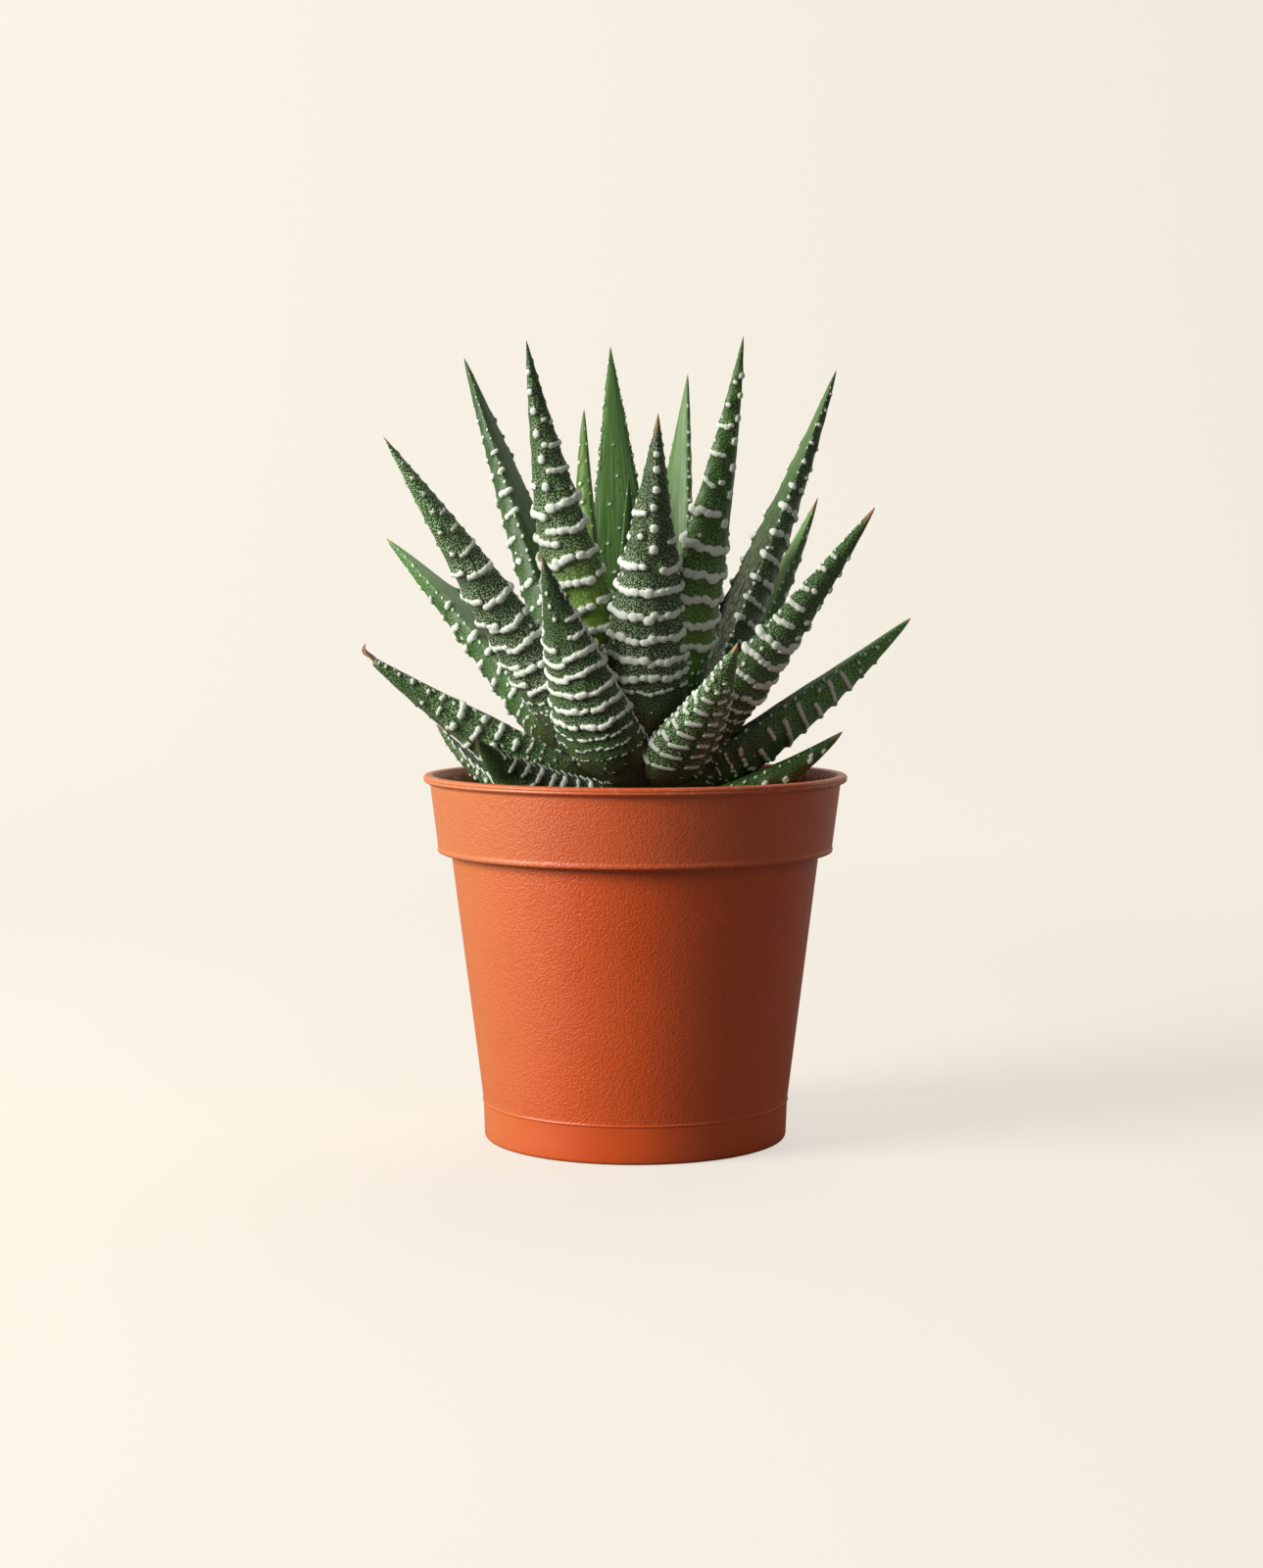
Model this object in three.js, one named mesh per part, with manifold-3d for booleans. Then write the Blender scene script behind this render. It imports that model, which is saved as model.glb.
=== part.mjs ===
// A haworthia: a rosette of pointed succulent leaves on a short stem, in compost, in a round
// plastic nursery pot. Millimetres, +Z up. The origin is the middle of the face the pot stands on.
// The camera side of the plant is -Y; azimuths are in degrees, anticlockwise from +X.

import * as THREE from 'three';
import { mergeVertices } from 'three/addons/utils/BufferGeometryUtils.js';
import Module from 'manifold-3d';

// Driving dimensions

const GAP = 0.3;

const POT_HEIGHT = 56.1;
const POT_SIDES = 44;
const SOIL_SIDES = 28;
const WALL = 1.1;
const BASE_RADIUS = 23.3;
const MOULD_LINE_HEIGHT = 5.7;
const MOULD_LINE_RADIUS = 23.5;
const MOULD_LINE_RISE = 0.25;
const BODY_TOP_HEIGHT = 43.7;
const BODY_TOP_RADIUS = 28.2;
const BAND_LOW_HEIGHT = 44.9;
const BAND_LOW_RADIUS = 30.2;
const BAND_TOP_HEIGHT = 54.6;
const BAND_TOP_RADIUS = 31.4;
const BEAD_RADIUS = 32.5;

const RADIUS_SMALL = 0.3;
const RADIUS_LARGE = 0.8;

const BOSS_RADIUS = 9;
const FOOT_INNER_RADIUS = 18.5;
const CHANNEL_DEPTH = 1.5;
const DRAIN_HOLES = 6;
const DRAIN_RADIUS = 2.4;
const DRAIN_CIRCLE = 13.8;

const SOIL_EDGE_HEIGHT = 45.4;
const SOIL_SLOPE_HEIGHT = 46.3;
const SOIL_SLOPE_RADIUS = 18;
const SOIL_CROWN_HEIGHT = 47.4;
const SOIL_CROWN_RADIUS = 9;

const STEM_SIDES = 16;
const STEM_TIP = 1;

// The leaves, from the lowest to the youngest. az is the way a leaf points, reach how far its tip
// is from the pot's axis, rise the height of its tip, seat the height at which it leaves the stem
// and width its greatest width. bow is how far it sags outward, sway how far it bends sideways,
// turn how many degrees it is rolled about its own length and twist how much further at its tip,
// deep its thickness as a share of its width, and root how far from the axis it starts.
const LEAVES = [
  { name: 'leaf_01', az: 170, reach: 31.5, rise: 63.5, seat: 50.5, width: 11, bow: 3.0, deep: 0.46 },
  { name: 'leaf_02', az: 128, reach: 34.0, rise: 62.5, seat: 51.0, width: 12, bow: 2.2 },
  { name: 'leaf_03', az: 96, reach: 37.0, rise: 68.0, seat: 51.5, width: 12.5, bow: 2.0 },
  { name: 'leaf_04', az: 70, reach: 35.5, rise: 62.5, seat: 51.0, width: 12, bow: 2.0 },
  { name: 'leaf_05', az: 42, reach: 33.0, rise: 65.0, seat: 51.5, width: 12.5, bow: 1.8 },
  { name: 'leaf_06', az: -17, reach: 32.5, rise: 63.0, seat: 51.5, width: 12, bow: 1.6, deep: 0.52 },
  { name: 'leaf_07', az: -138, reach: 31.2, rise: 62.5, seat: 51.4, width: 15, bow: 1.2, deep: 0.42,
    turn: 17, sway: -2.5 },
  { name: 'leaf_08', az: 146, reach: 34.0, rise: 66.0, seat: 52.5, width: 13, bow: 1.6 },
  { name: 'leaf_09', az: -160, reach: 43.0, rise: 75.0, seat: 54.0, width: 14, bow: 0.6, deep: 0.5,
    turn: 8 },
  { name: 'leaf_10', az: 112, reach: 36.0, rise: 84.0, seat: 54.5, width: 13, bow: 0.8 },
  { name: 'leaf_11', az: 83, reach: 35.0, rise: 88.0, seat: 55.0, width: 13, bow: 0.8 },
  { name: 'leaf_12', az: 60, reach: 36.0, rise: 82.0, seat: 54.5, width: 13, bow: 0.8 },
  { name: 'leaf_13', az: -8, reach: 42.0, rise: 80.0, seat: 55.0, width: 14.5, bow: 0.8, deep: 0.52 },
  { name: 'leaf_14', az: -117, reach: 29.5, rise: 89.0, seat: 55.0, width: 14.5, bow: 0.4,
    sway: -0.2 },
  { name: 'leaf_15', az: -59, reach: 28.6, rise: 76.6, seat: 55.5, width: 12.4, bow: 0.45,
    deep: 0.40, turn: -4, sway: 0.9 },
  { name: 'leaf_16', az: -144, reach: 44.5, rise: 106.0, seat: 56.0, width: 11.2, bow: -0.2,
    turn: -7, twist: 60, sway: -0.1 },
  { name: 'leaf_17', az: 31, reach: 34.0, rise: 99.0, seat: 56.0, width: 12, bow: 1.2, turn: -5,
    sway: -0.2 },
  { name: 'leaf_18', az: -35, reach: 42.0, rise: 96.0, seat: 57.0, width: 13.5, bow: 0.2,
    deep: 0.48, turn: 5 },
  { name: 'leaf_19', az: 158, reach: 42.7, rise: 92.5, seat: 57.0, width: 16, bow: -1.0, deep: 0.46,
    turn: -3, sway: -0.7 },
  { name: 'leaf_20', az: -84, reach: 30.5, rise: 109.0, seat: 57.5, width: 13.8, bow: 0.3,
    turn: 2 },
  { name: 'leaf_21', az: 50, reach: 20.0, rise: 97.0, seat: 58.0, width: 12, bow: 0.5 },
  { name: 'leaf_22', az: 130, reach: 24.0, rise: 105.0, seat: 58.5, width: 12.5, bow: 0.5 },
  { name: 'leaf_23', az: 18, reach: 33.0, rise: 118.5, seat: 59.5, width: 13.5, bow: 0.7,
    sway: -0.2 },
  { name: 'leaf_24', az: -61, reach: 31.5, rise: 120.0, seat: 59.5, width: 11.5, bow: 0.7,
    turn: 14, sway: 0.6 },
  { name: 'leaf_25', az: -120, reach: 31.0, rise: 119.5, seat: 60.0, width: 12.5, bow: 1.0,
    turn: 3, sway: -0.5 },
  { name: 'leaf_26', az: 148, reach: 32.0, rise: 121.0, seat: 60.0, width: 14.5, bow: -0.8,
    turn: 9, sway: 0.4 },
  { name: 'leaf_27', az: 100, reach: 23.0, rise: 123.5, seat: 60.5, width: 13 },
  { name: 'leaf_28', az: 76, reach: 16.5, rise: 104.5, seat: 61.0, width: 11, bow: 0.3, root: 3.8 },
  { name: 'leaf_29', az: 54, reach: 14.0, rise: 118.0, seat: 61.5, width: 11.5, bow: 0.2,
    turn: -7, root: 3.4 },
  { name: 'leaf_30', az: 150, reach: 9.1, rise: 112.0, seat: 62.0, width: 12, bow: 0.7, turn: 30,
    sway: 0.4, root: 2.8 },
  { name: 'leaf_31', az: 120, reach: 2.0, rise: 102.0, seat: 63.0, width: 6.5, root: 1.4 },
];

const LEAF_DEEP = 0.46;
const LEAF_ROOT = 4.5;
const LEAF_SIDES = 10;
const LEAF_STATIONS = [0, 0.1, 0.22, 0.4, 0.6, 0.79, 0.93];
// The leaf is widest this far along its length, and its base is narrower by this share.
const WIDEST_AT = 0.22;
const BASE_SHARE = 0.8;
// Share of the thickness that lies on the rounded outer side, and how blunt its keel is.
const OUTER_SHARE = 0.82;
const KEEL_POWER = 0.9;
const DRUM_SIDES = 24;

// Materials

const plastic = { color: 0xc8643c, roughness: 0.5, metalness: 0 };
const compost = { color: 0x33241a, roughness: 0.95, metalness: 0 };
const stemSkin = { color: 0x6b6a3a, roughness: 0.7, metalness: 0 };
const leafSkin = { color: 0x35552a, roughness: 0.5, metalness: 0 };

// Solids

const wasm = await Module();
wasm.setup();

// A closed geometry as a solid: shared corners merged, triangles of no area dropped.
function toSolid(geometry) {
  geometry.deleteAttribute('normal');
  geometry.deleteAttribute('uv');
  const merged = mergeVertices(geometry, 1e-4);
  const index = merged.index.array;
  const triangles = [];
  for (let i = 0; i < index.length; i += 3) {
    const [a, b, c] = [index[i], index[i + 1], index[i + 2]];
    if (a !== b && b !== c && c !== a) triangles.push(a, b, c);
  }
  const mesh = new wasm.Mesh({
    numProp: 3,
    vertProperties: Float32Array.from(merged.attributes.position.array),
    triVerts: Uint32Array.from(triangles),
  });
  return new wasm.Manifold(mesh);
}

// The biggest of the separate bodies of a solid.
function largestBody(solid) {
  const bodies = solid.decompose();
  return bodies.reduce((best, body) => (body.volume() > best.volume() ? body : best));
}

function toMesh(name, solid, look) {
  const { vertProperties, triVerts } = solid.getMesh();
  const geometry = new THREE.BufferGeometry();
  geometry.setAttribute('position', new THREE.BufferAttribute(vertProperties, 3));
  geometry.setIndex(new THREE.BufferAttribute(triVerts, 1));
  geometry.computeVertexNormals();
  const mesh = new THREE.Mesh(geometry, new THREE.MeshStandardMaterial(look));
  mesh.name = name;
  return mesh;
}

// A solid of revolution about +Z from a list of [radius, height] corners.
function turned(corners, sides) {
  const profile = corners.map(([radius, height]) => new THREE.Vector2(radius, height));
  const geometry = new THREE.LatheGeometry(profile, sides);
  geometry.rotateX(Math.PI / 2);
  return toSolid(geometry);
}

function drum(radius, bottom, top, x, y) {
  const geometry = new THREE.CylinderGeometry(radius, radius, top - bottom, DRUM_SIDES);
  geometry.rotateX(Math.PI / 2);
  geometry.translate(x, y, (top + bottom) / 2);
  return toSolid(geometry);
}

// The pot: a thin moulding with a rolled rim bead, a collar band that steps in to the tapered
// body, a raised mould line above the base, and a channel with drain holes under the floor.

const BODY_SLOPE = (BODY_TOP_RADIUS - MOULD_LINE_RADIUS) / (BODY_TOP_HEIGHT - MOULD_LINE_HEIGHT);

const outside = [
  [0, 0],
  [BOSS_RADIUS, 0],
  [BOSS_RADIUS + RADIUS_LARGE, CHANNEL_DEPTH],
  [FOOT_INNER_RADIUS - RADIUS_LARGE, CHANNEL_DEPTH],
  [FOOT_INNER_RADIUS, 0],
  [BASE_RADIUS - RADIUS_LARGE, 0],
  [BASE_RADIUS - RADIUS_SMALL, RADIUS_SMALL],
  [BASE_RADIUS, RADIUS_LARGE],
  [MOULD_LINE_RADIUS, MOULD_LINE_HEIGHT - MOULD_LINE_RISE],
  [MOULD_LINE_RADIUS + MOULD_LINE_RISE, MOULD_LINE_HEIGHT],
  [MOULD_LINE_RADIUS, MOULD_LINE_HEIGHT + MOULD_LINE_RISE],
  [BODY_TOP_RADIUS, BODY_TOP_HEIGHT],
  [BAND_LOW_RADIUS - RADIUS_LARGE, BODY_TOP_HEIGHT],
  [BAND_LOW_RADIUS - RADIUS_SMALL / 2, BAND_LOW_HEIGHT - RADIUS_LARGE],
  [BAND_LOW_RADIUS, BAND_LOW_HEIGHT],
  [BAND_TOP_RADIUS, BAND_TOP_HEIGHT],
  [BEAD_RADIUS - RADIUS_SMALL, BAND_TOP_HEIGHT + RADIUS_SMALL],
  [BEAD_RADIUS, POT_HEIGHT - RADIUS_LARGE],
  [BEAD_RADIUS - RADIUS_SMALL, POT_HEIGHT - RADIUS_SMALL],
  [BEAD_RADIUS - RADIUS_LARGE, POT_HEIGHT],
];

// Inner wall radius at a height below the band's step.
function bore(height) {
  return MOULD_LINE_RADIUS + BODY_SLOPE * (height - MOULD_LINE_HEIGHT) - WALL;
}

const LEDGE_RADIUS = BAND_LOW_RADIUS - WALL;
const LEDGE_FOOT_HEIGHT = BAND_LOW_HEIGHT - RADIUS_LARGE;
const FLOOR_CORNER_HEIGHT = WALL + RADIUS_LARGE;
const FLOOR_RADIUS = bore(FLOOR_CORNER_HEIGHT);

const inside = [
  [BAND_TOP_RADIUS - RADIUS_SMALL, POT_HEIGHT],
  [BAND_TOP_RADIUS - WALL, BAND_TOP_HEIGHT],
  [LEDGE_RADIUS, BAND_LOW_HEIGHT + RADIUS_SMALL],
  [LEDGE_RADIUS - RADIUS_LARGE, BAND_LOW_HEIGHT - RADIUS_SMALL],
  [bore(LEDGE_FOOT_HEIGHT), LEDGE_FOOT_HEIGHT],
  [FLOOR_RADIUS, FLOOR_CORNER_HEIGHT],
  [FLOOR_RADIUS - RADIUS_LARGE, WALL],
  [FOOT_INNER_RADIUS + RADIUS_LARGE, WALL],
  [FOOT_INNER_RADIUS, CHANNEL_DEPTH + WALL],
  [BOSS_RADIUS, CHANNEL_DEPTH + WALL],
  [BOSS_RADIUS - RADIUS_LARGE, WALL],
  [0, WALL],
];

let pot = turned([...outside, ...inside], POT_SIDES);
for (let i = 0; i < DRAIN_HOLES; i += 1) {
  const angle = (i * 2 * Math.PI) / DRAIN_HOLES;
  const x = DRAIN_CIRCLE * Math.cos(angle);
  const y = DRAIN_CIRCLE * Math.sin(angle);
  pot = pot.subtract(drum(DRAIN_RADIUS, CHANNEL_DEPTH - WALL, CHANNEL_DEPTH + 2 * WALL, x, y));
}

// The stem: a short stub, widest in the compost, that tapers up into the crown. Its outline is a
// list of [radius, height].

const STEM_OUTLINE = [
  [3.2, 41],
  [4.4, 43],
  [4.8, 47],
  [4.6, 55],
  [3.4, 60],
  [2.0, 64],
];

function stemSolid(grow) {
  const foot = STEM_OUTLINE[0][1] - grow;
  const crown = STEM_OUTLINE[STEM_OUTLINE.length - 1][1] + STEM_TIP + grow;
  const skin = STEM_OUTLINE.map(([radius, height]) => [radius + grow, height]);
  skin[0][1] = foot;
  return turned([[0, foot], ...skin, [0, crown]], STEM_SIDES);
}

const stem = stemSolid(0);
const stemRoom = stemSolid(GAP);

// The compost: it fills the pot from the floor up and is a little higher round the plant.

const soilCorners = [
  [0, WALL + GAP],
  [BOSS_RADIUS - RADIUS_LARGE - GAP, WALL + GAP],
  [BOSS_RADIUS - GAP, CHANNEL_DEPTH + WALL + GAP],
  [FOOT_INNER_RADIUS + GAP, CHANNEL_DEPTH + WALL + GAP],
  [FOOT_INNER_RADIUS + RADIUS_LARGE + GAP, WALL + GAP],
  [FLOOR_RADIUS - RADIUS_LARGE - GAP, WALL + GAP],
  [FLOOR_RADIUS - GAP, FLOOR_CORNER_HEIGHT + GAP],
  [bore(LEDGE_FOOT_HEIGHT) - GAP, LEDGE_FOOT_HEIGHT + GAP],
  [LEDGE_RADIUS - RADIUS_LARGE - GAP, BAND_LOW_HEIGHT],
  [LEDGE_RADIUS - RADIUS_LARGE, SOIL_EDGE_HEIGHT],
  [SOIL_SLOPE_RADIUS, SOIL_SLOPE_HEIGHT],
  [SOIL_CROWN_RADIUS, SOIL_CROWN_HEIGHT],
  [0, SOIL_CROWN_HEIGHT],
];

const soil = turned(soilCorners, SOIL_SIDES).subtract(stemRoom);

// A leaf: a turned blank with its ends on the axis, carried along the leaf's own curve. Across,
// it is as wide as the leaf at that station. The outer side is deep and rounded, and the inner
// side nearly flat.

// Half width at a station, as a share of the greatest half width.
function spread(t) {
  if (t < WIDEST_AT) {
    return BASE_SHARE + (1 - BASE_SHARE) * Math.sin((Math.PI / 2) * (t / WIDEST_AT));
  }
  const left = (1 - t) / (1 - WIDEST_AT);
  return left ** 0.92 * (1 + 0.18 * left * (1 - left));
}

// The curve that a leaf follows from the stem to its tip, and the level direction across it.
function leafCurve({ az, reach, rise, seat, bow = 0, sway = 0, root = LEAF_ROOT }) {
  const angle = THREE.MathUtils.degToRad(az);
  const out = new THREE.Vector3(Math.cos(angle), Math.sin(angle), 0);
  const level = new THREE.Vector3(-Math.sin(angle), Math.cos(angle), 0);
  const start = out.clone().multiplyScalar(root).setZ(seat);
  const tip = out.clone().multiplyScalar(reach).setZ(rise);
  const chord = tip.clone().sub(start).normalize();
  const down = level.clone().cross(chord);
  const middle = start.clone().add(tip).multiplyScalar(0.5);
  middle.addScaledVector(down, 2 * bow).addScaledVector(level, 2 * sway);
  return { curve: new THREE.QuadraticBezierCurve3(start, middle, tip), level };
}

function leafSolid(leaf, grow) {
  const { width, deep = LEAF_DEEP, turn = 0, twist = 0 } = leaf;
  const { curve, level } = leafCurve(leaf);
  const profile = [new THREE.Vector2(0, 0)];
  LEAF_STATIONS.forEach((t) => profile.push(new THREE.Vector2(1, t)));
  profile.push(new THREE.Vector2(0, 1));
  const geometry = new THREE.LatheGeometry(profile, LEAF_SIDES);
  const corners = geometry.attributes.position;
  for (let i = 0; i < corners.count; i += 1) {
    const t = corners.getY(i);
    const roll = THREE.MathUtils.degToRad(turn + twist * t);
    const along = curve.getTangent(t);
    const flat = level.clone().addScaledVector(along, -level.dot(along)).normalize();
    const inward = along.clone().cross(flat);
    const side = flat.clone().multiplyScalar(Math.cos(roll)).addScaledVector(inward, Math.sin(roll));
    const face = along.clone().cross(side);
    const share = spread(t);
    const outer = deep * width * OUTER_SHARE * share ** 0.8 * (0.75 + 0.25 * Math.min(t / 0.2, 1));
    const inner = deep * width * (1 - OUTER_SHARE) * share ** 0.6 * Math.min(0.15 + t * 1.6, 1);
    const x = corners.getX(i);
    const z = corners.getZ(i);
    const depth = z < 0 ? -(outer + grow) * Math.abs(z) ** KEEL_POWER : (inner + grow) * z;
    const point = curve.getPoint(t);
    point.addScaledVector(side, -x * ((width / 2) * share + grow));
    point.addScaledVector(face, depth);
    if (t === 0) point.addScaledVector(along, -grow);
    if (t === 1) point.addScaledVector(along, grow);
    corners.setXYZ(i, point.x, point.y, point.z);
  }
  return toSolid(geometry);
}

// Each leaf gives way to the stem and to the younger leaves inside it.
const leafMeshes = [];
let taken = stemRoom;
[...LEAVES].reverse().forEach((leaf) => {
  const body = largestBody(leafSolid(leaf, 0).subtract(taken));
  leafMeshes.unshift(toMesh(leaf.name, body, leafSkin));
  taken = taken.add(leafSolid(leaf, GAP));
});

const plant = new THREE.Group();
plant.add(toMesh('pot', pot, plastic));
plant.add(toMesh('soil', soil, compost));
plant.add(toMesh('stem', stem, stemSkin));
plant.add(...leafMeshes);

export default plant;
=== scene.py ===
import math

import bpy
import numpy as np
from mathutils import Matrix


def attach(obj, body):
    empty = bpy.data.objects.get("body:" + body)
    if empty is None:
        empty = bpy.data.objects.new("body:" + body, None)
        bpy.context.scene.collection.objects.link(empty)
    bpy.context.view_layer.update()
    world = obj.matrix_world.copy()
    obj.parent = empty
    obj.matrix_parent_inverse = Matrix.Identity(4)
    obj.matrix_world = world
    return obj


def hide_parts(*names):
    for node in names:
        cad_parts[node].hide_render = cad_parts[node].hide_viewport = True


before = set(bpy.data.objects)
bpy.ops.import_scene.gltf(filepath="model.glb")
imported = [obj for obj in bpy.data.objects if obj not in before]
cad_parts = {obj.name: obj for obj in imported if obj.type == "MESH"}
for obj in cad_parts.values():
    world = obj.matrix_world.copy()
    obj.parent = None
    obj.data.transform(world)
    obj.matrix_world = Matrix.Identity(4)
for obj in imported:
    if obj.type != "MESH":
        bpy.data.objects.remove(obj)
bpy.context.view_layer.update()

# A potted haworthia: a rosette of banded succulent leaves on a short stem, in compost, in a round
# plastic nursery pot. Metres, +Z up; the camera side is -Y. Sizes in the sections are millimetres
# where the name says mm, and become metres as each mesh is made.

MM = 0.001


# ---------------------------------------------------------------------------------------------
# Camera, sweep and lights. The plant stands in the middle of a round paper sweep, pale and warm,
# whose floor turns up into its wall well behind the camera. One big soft window light stands to
# the left; the paper is bright behind the plant and dim in front, so edges catch a little light.
# ---------------------------------------------------------------------------------------------

camera_data = bpy.data.cameras.new("camera")
camera_data.lens = 59.625
camera_data.sensor_width = 36.0
camera_data.clip_start = 0.02
camera_data.clip_end = 20.0
camera = bpy.data.objects.new("camera", camera_data)
camera.location = (-0.00058, -0.3987, 0.0824)
camera.rotation_euler = (math.pi / 2 - 0.07, 0.0, 0.0)
bpy.context.scene.collection.objects.link(camera)
bpy.context.scene.camera = camera


def surface(name, points, quads, tris, closed=True):
    """A smooth-shaded mesh from points in metres and faces of four and of three corners.

    A closed surface has its faces turned round if the volume they enclose comes out negative.
    """
    if closed:
        halves = np.concatenate([quads[:, [0, 1, 2]], quads[:, [0, 2, 3]], tris])
        a, b, c = points[halves[:, 0]], points[halves[:, 1]], points[halves[:, 2]]
        if np.einsum("ij,ij->", a, np.cross(b, c)) < 0:
            quads = quads[:, ::-1]
            tris = tris[:, ::-1]
    corners = np.concatenate([quads.ravel(), tris.ravel()]).astype(np.int32)
    starts = np.concatenate([np.arange(len(quads)) * 4, len(quads) * 4 + np.arange(len(tris)) * 3])
    mesh = bpy.data.meshes.new(name)
    mesh.vertices.add(len(points))
    mesh.vertices.foreach_set("co", points.astype(np.float32).ravel())
    mesh.loops.add(len(corners))
    mesh.loops.foreach_set("vertex_index", corners)
    mesh.polygons.add(len(starts))
    mesh.polygons.foreach_set("loop_start", starts.astype(np.int32))
    mesh.update(calc_edges=True)
    mesh.shade_smooth()
    piece = bpy.data.objects.new(name, mesh)
    bpy.context.scene.collection.objects.link(piece)
    return piece


def ring_faces(rows, columns, poles=2):
    """Faces of a grid of rows by columns whose columns close round.

    Four corners between neighbouring rows, and a fan from the first row to the point after the
    grid; with two poles also a fan from the last row to the point after that.
    """
    ring = np.arange(columns)
    after = (ring + 1) % columns
    base = np.arange(rows - 1)[:, None] * columns
    quads = np.stack([base + ring, base + after, base + columns + after, base + columns + ring], -1)
    last = (rows - 1) * columns
    pole = np.full(columns, rows * columns)
    fans = [np.stack([after, ring, pole], -1)]
    if poles == 2:
        fans.append(np.stack([last + ring, last + after, pole + 1], -1))
    return quads.reshape(-1, 4), np.concatenate(fans)


def all_round(columns):
    """Angles of a full turn in equal steps, without the last one, which is the first again."""
    return np.linspace(0, 2 * math.pi, columns, endpoint=False)


def turned(radius, angle, height, *poles):
    """Points of a shape of revolution, row by row, and after them the heights of its poles."""
    x = radius * np.cos(angle)
    grid = np.stack([x, radius * np.sin(angle), np.broadcast_to(height, x.shape)], -1)
    return np.concatenate([grid.reshape(-1, 3), *([[0, 0, pole]] for pole in poles)])


def node(tree, kind, inputs=None, **settings):
    """One shader node; inputs gives its sockets, by name or number, a value or a socket to join."""
    made = tree.nodes.new(kind)
    for key, value in settings.items():
        setattr(made, key, value)
    for key, value in (inputs or {}).items():
        if isinstance(value, bpy.types.NodeSocket):
            tree.links.new(value, made.inputs[key])
        else:
            made.inputs[key].default_value = value
    return made


def span(tree, value, low, high, out_low=0.0, out_high=1.0, way="SMOOTHSTEP"):
    """value carried from the span low..high to the span out_low..out_high, smoothly or LINEAR."""
    return node(tree, "ShaderNodeMapRange", {
        "Value": value, "From Min": low, "From Max": high, "To Min": out_low, "To Max": out_high,
    }, interpolation_type=way).outputs["Result"]


MIDDLE_MM = 20
FLOOR_MM = 900
TURN_MM = 700
WALL_MM = 1900
FLOOR_RINGS = 12
TURN_RINGS = 24
SWEEP_COLUMNS = 96

# From the middle out: flat floor, quarter turn, upright wall.
bend = np.linspace(0, math.pi / 2, TURN_RINGS)
sweep_radius = np.concatenate([
    np.linspace(MIDDLE_MM, FLOOR_MM, FLOOR_RINGS), FLOOR_MM + TURN_MM * np.sin(bend),
    [FLOOR_MM + TURN_MM]])
sweep_height = np.concatenate([np.zeros(FLOOR_RINGS), TURN_MM * (1 - np.cos(bend)), [WALL_MM]])
sweep_points = turned(sweep_radius[:, None], all_round(SWEEP_COLUMNS), sweep_height[:, None], 0) * MM
sweep_quads, sweep_fan = ring_faces(len(sweep_radius), SWEEP_COLUMNS, poles=1)
sweep = surface("paper_sweep", sweep_points, sweep_quads, sweep_fan, closed=False)

paper = bpy.data.materials.new("sweep_paper")
paper.use_nodes = True
tree = paper.node_tree
tree.nodes.clear()
# Near the pot the camera sees the lit floor with its shadow; farther out, one even cream. Both are
# painted a little lighter on the left, as painted light from the window side. Other rays meet paper
# that glows behind the plant.
spot = node(tree, "ShaderNodeTexCoord").outputs["Object"]
distance = node(tree, "ShaderNodeVectorMath", {0: spot}, operation="LENGTH").outputs["Value"]
sides = node(tree, "ShaderNodeSeparateXYZ", {"Vector": spot}).outputs
far = span(tree, distance, 0.10, 0.50)
floor = node(tree, "ShaderNodeBsdfDiffuse", {"Color": (0.22, 0.20, 0.165, 1)})
floor_glow = node(tree, "ShaderNodeEmission", {
    "Color": (1.0, 0.945, 0.865, 1),
    "Strength": span(tree, sides["X"], -0.12, 0.12, 0.69, 0.63, way="LINEAR")})
near_part = node(tree, "ShaderNodeAddShader", {0: floor.outputs[0], 1: floor_glow.outputs[0]})
cream = node(tree, "ShaderNodeEmission", {
    "Color": (1.0, 0.94, 0.825, 1),
    "Strength": span(tree, sides["X"], -0.5, 0.5, 0.975, 0.87, way="LINEAR")})
front = node(tree, "ShaderNodeMixShader", {0: far, 1: near_part.outputs[0], 2: cream.outputs[0]})
near_bounce = node(tree, "ShaderNodeBsdfDiffuse", {"Color": (0.21, 0.20, 0.18, 1)})
behind = node(tree, "ShaderNodeEmission", {
    "Color": (1.0, 0.97, 0.90, 1), "Strength": span(tree, sides["Y"], -0.3, 0.9, 0.02, 0.62)})
bounce = node(tree, "ShaderNodeMixShader", {0: far, 1: near_bounce.outputs[0], 2: behind.outputs[0]})
path = node(tree, "ShaderNodeLightPath")
either = node(tree, "ShaderNodeMixShader", {
    0: path.outputs["Is Camera Ray"], 1: bounce.outputs[0], 2: front.outputs[0]})
node(tree, "ShaderNodeOutputMaterial", {"Surface": either.outputs[0]})
sweep.data.materials.append(paper)


def soft_light(name, place, aim, size, power, colour):
    """A square area light at place, turned to face aim, that the camera doesn't see itself."""
    data = bpy.data.lights.new(name, "AREA")
    data.shape = "SQUARE"
    data.size = size
    data.energy = power
    data.color = colour
    lamp = bpy.data.objects.new(name, data)
    lamp.location = place
    line = [b - a for a, b in zip(place, aim)]
    flat = math.hypot(line[0], line[1])
    lamp.rotation_euler = (math.atan2(flat, -line[2]), 0.0, math.atan2(-line[0], line[1]))
    lamp.visible_camera = False
    bpy.context.scene.collection.objects.link(lamp)


PLANT_MIDDLE = (0.0, 0.0, 0.065)
soft_light("window_left", (-0.78, -0.36, 0.40), PLANT_MIDDLE, size=0.48, power=16.8,
           colour=(1.0, 0.97, 0.915))
soft_light("panel_right", (0.52, -0.62, 0.46), PLANT_MIDDLE, size=0.50, power=1.1,
           colour=(1.0, 0.98, 0.95))
soft_light("top_back", (0.12, 0.48, 0.82), PLANT_MIDDLE, size=0.60, power=3.0,
           colour=(1.0, 0.99, 0.96))

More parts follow.
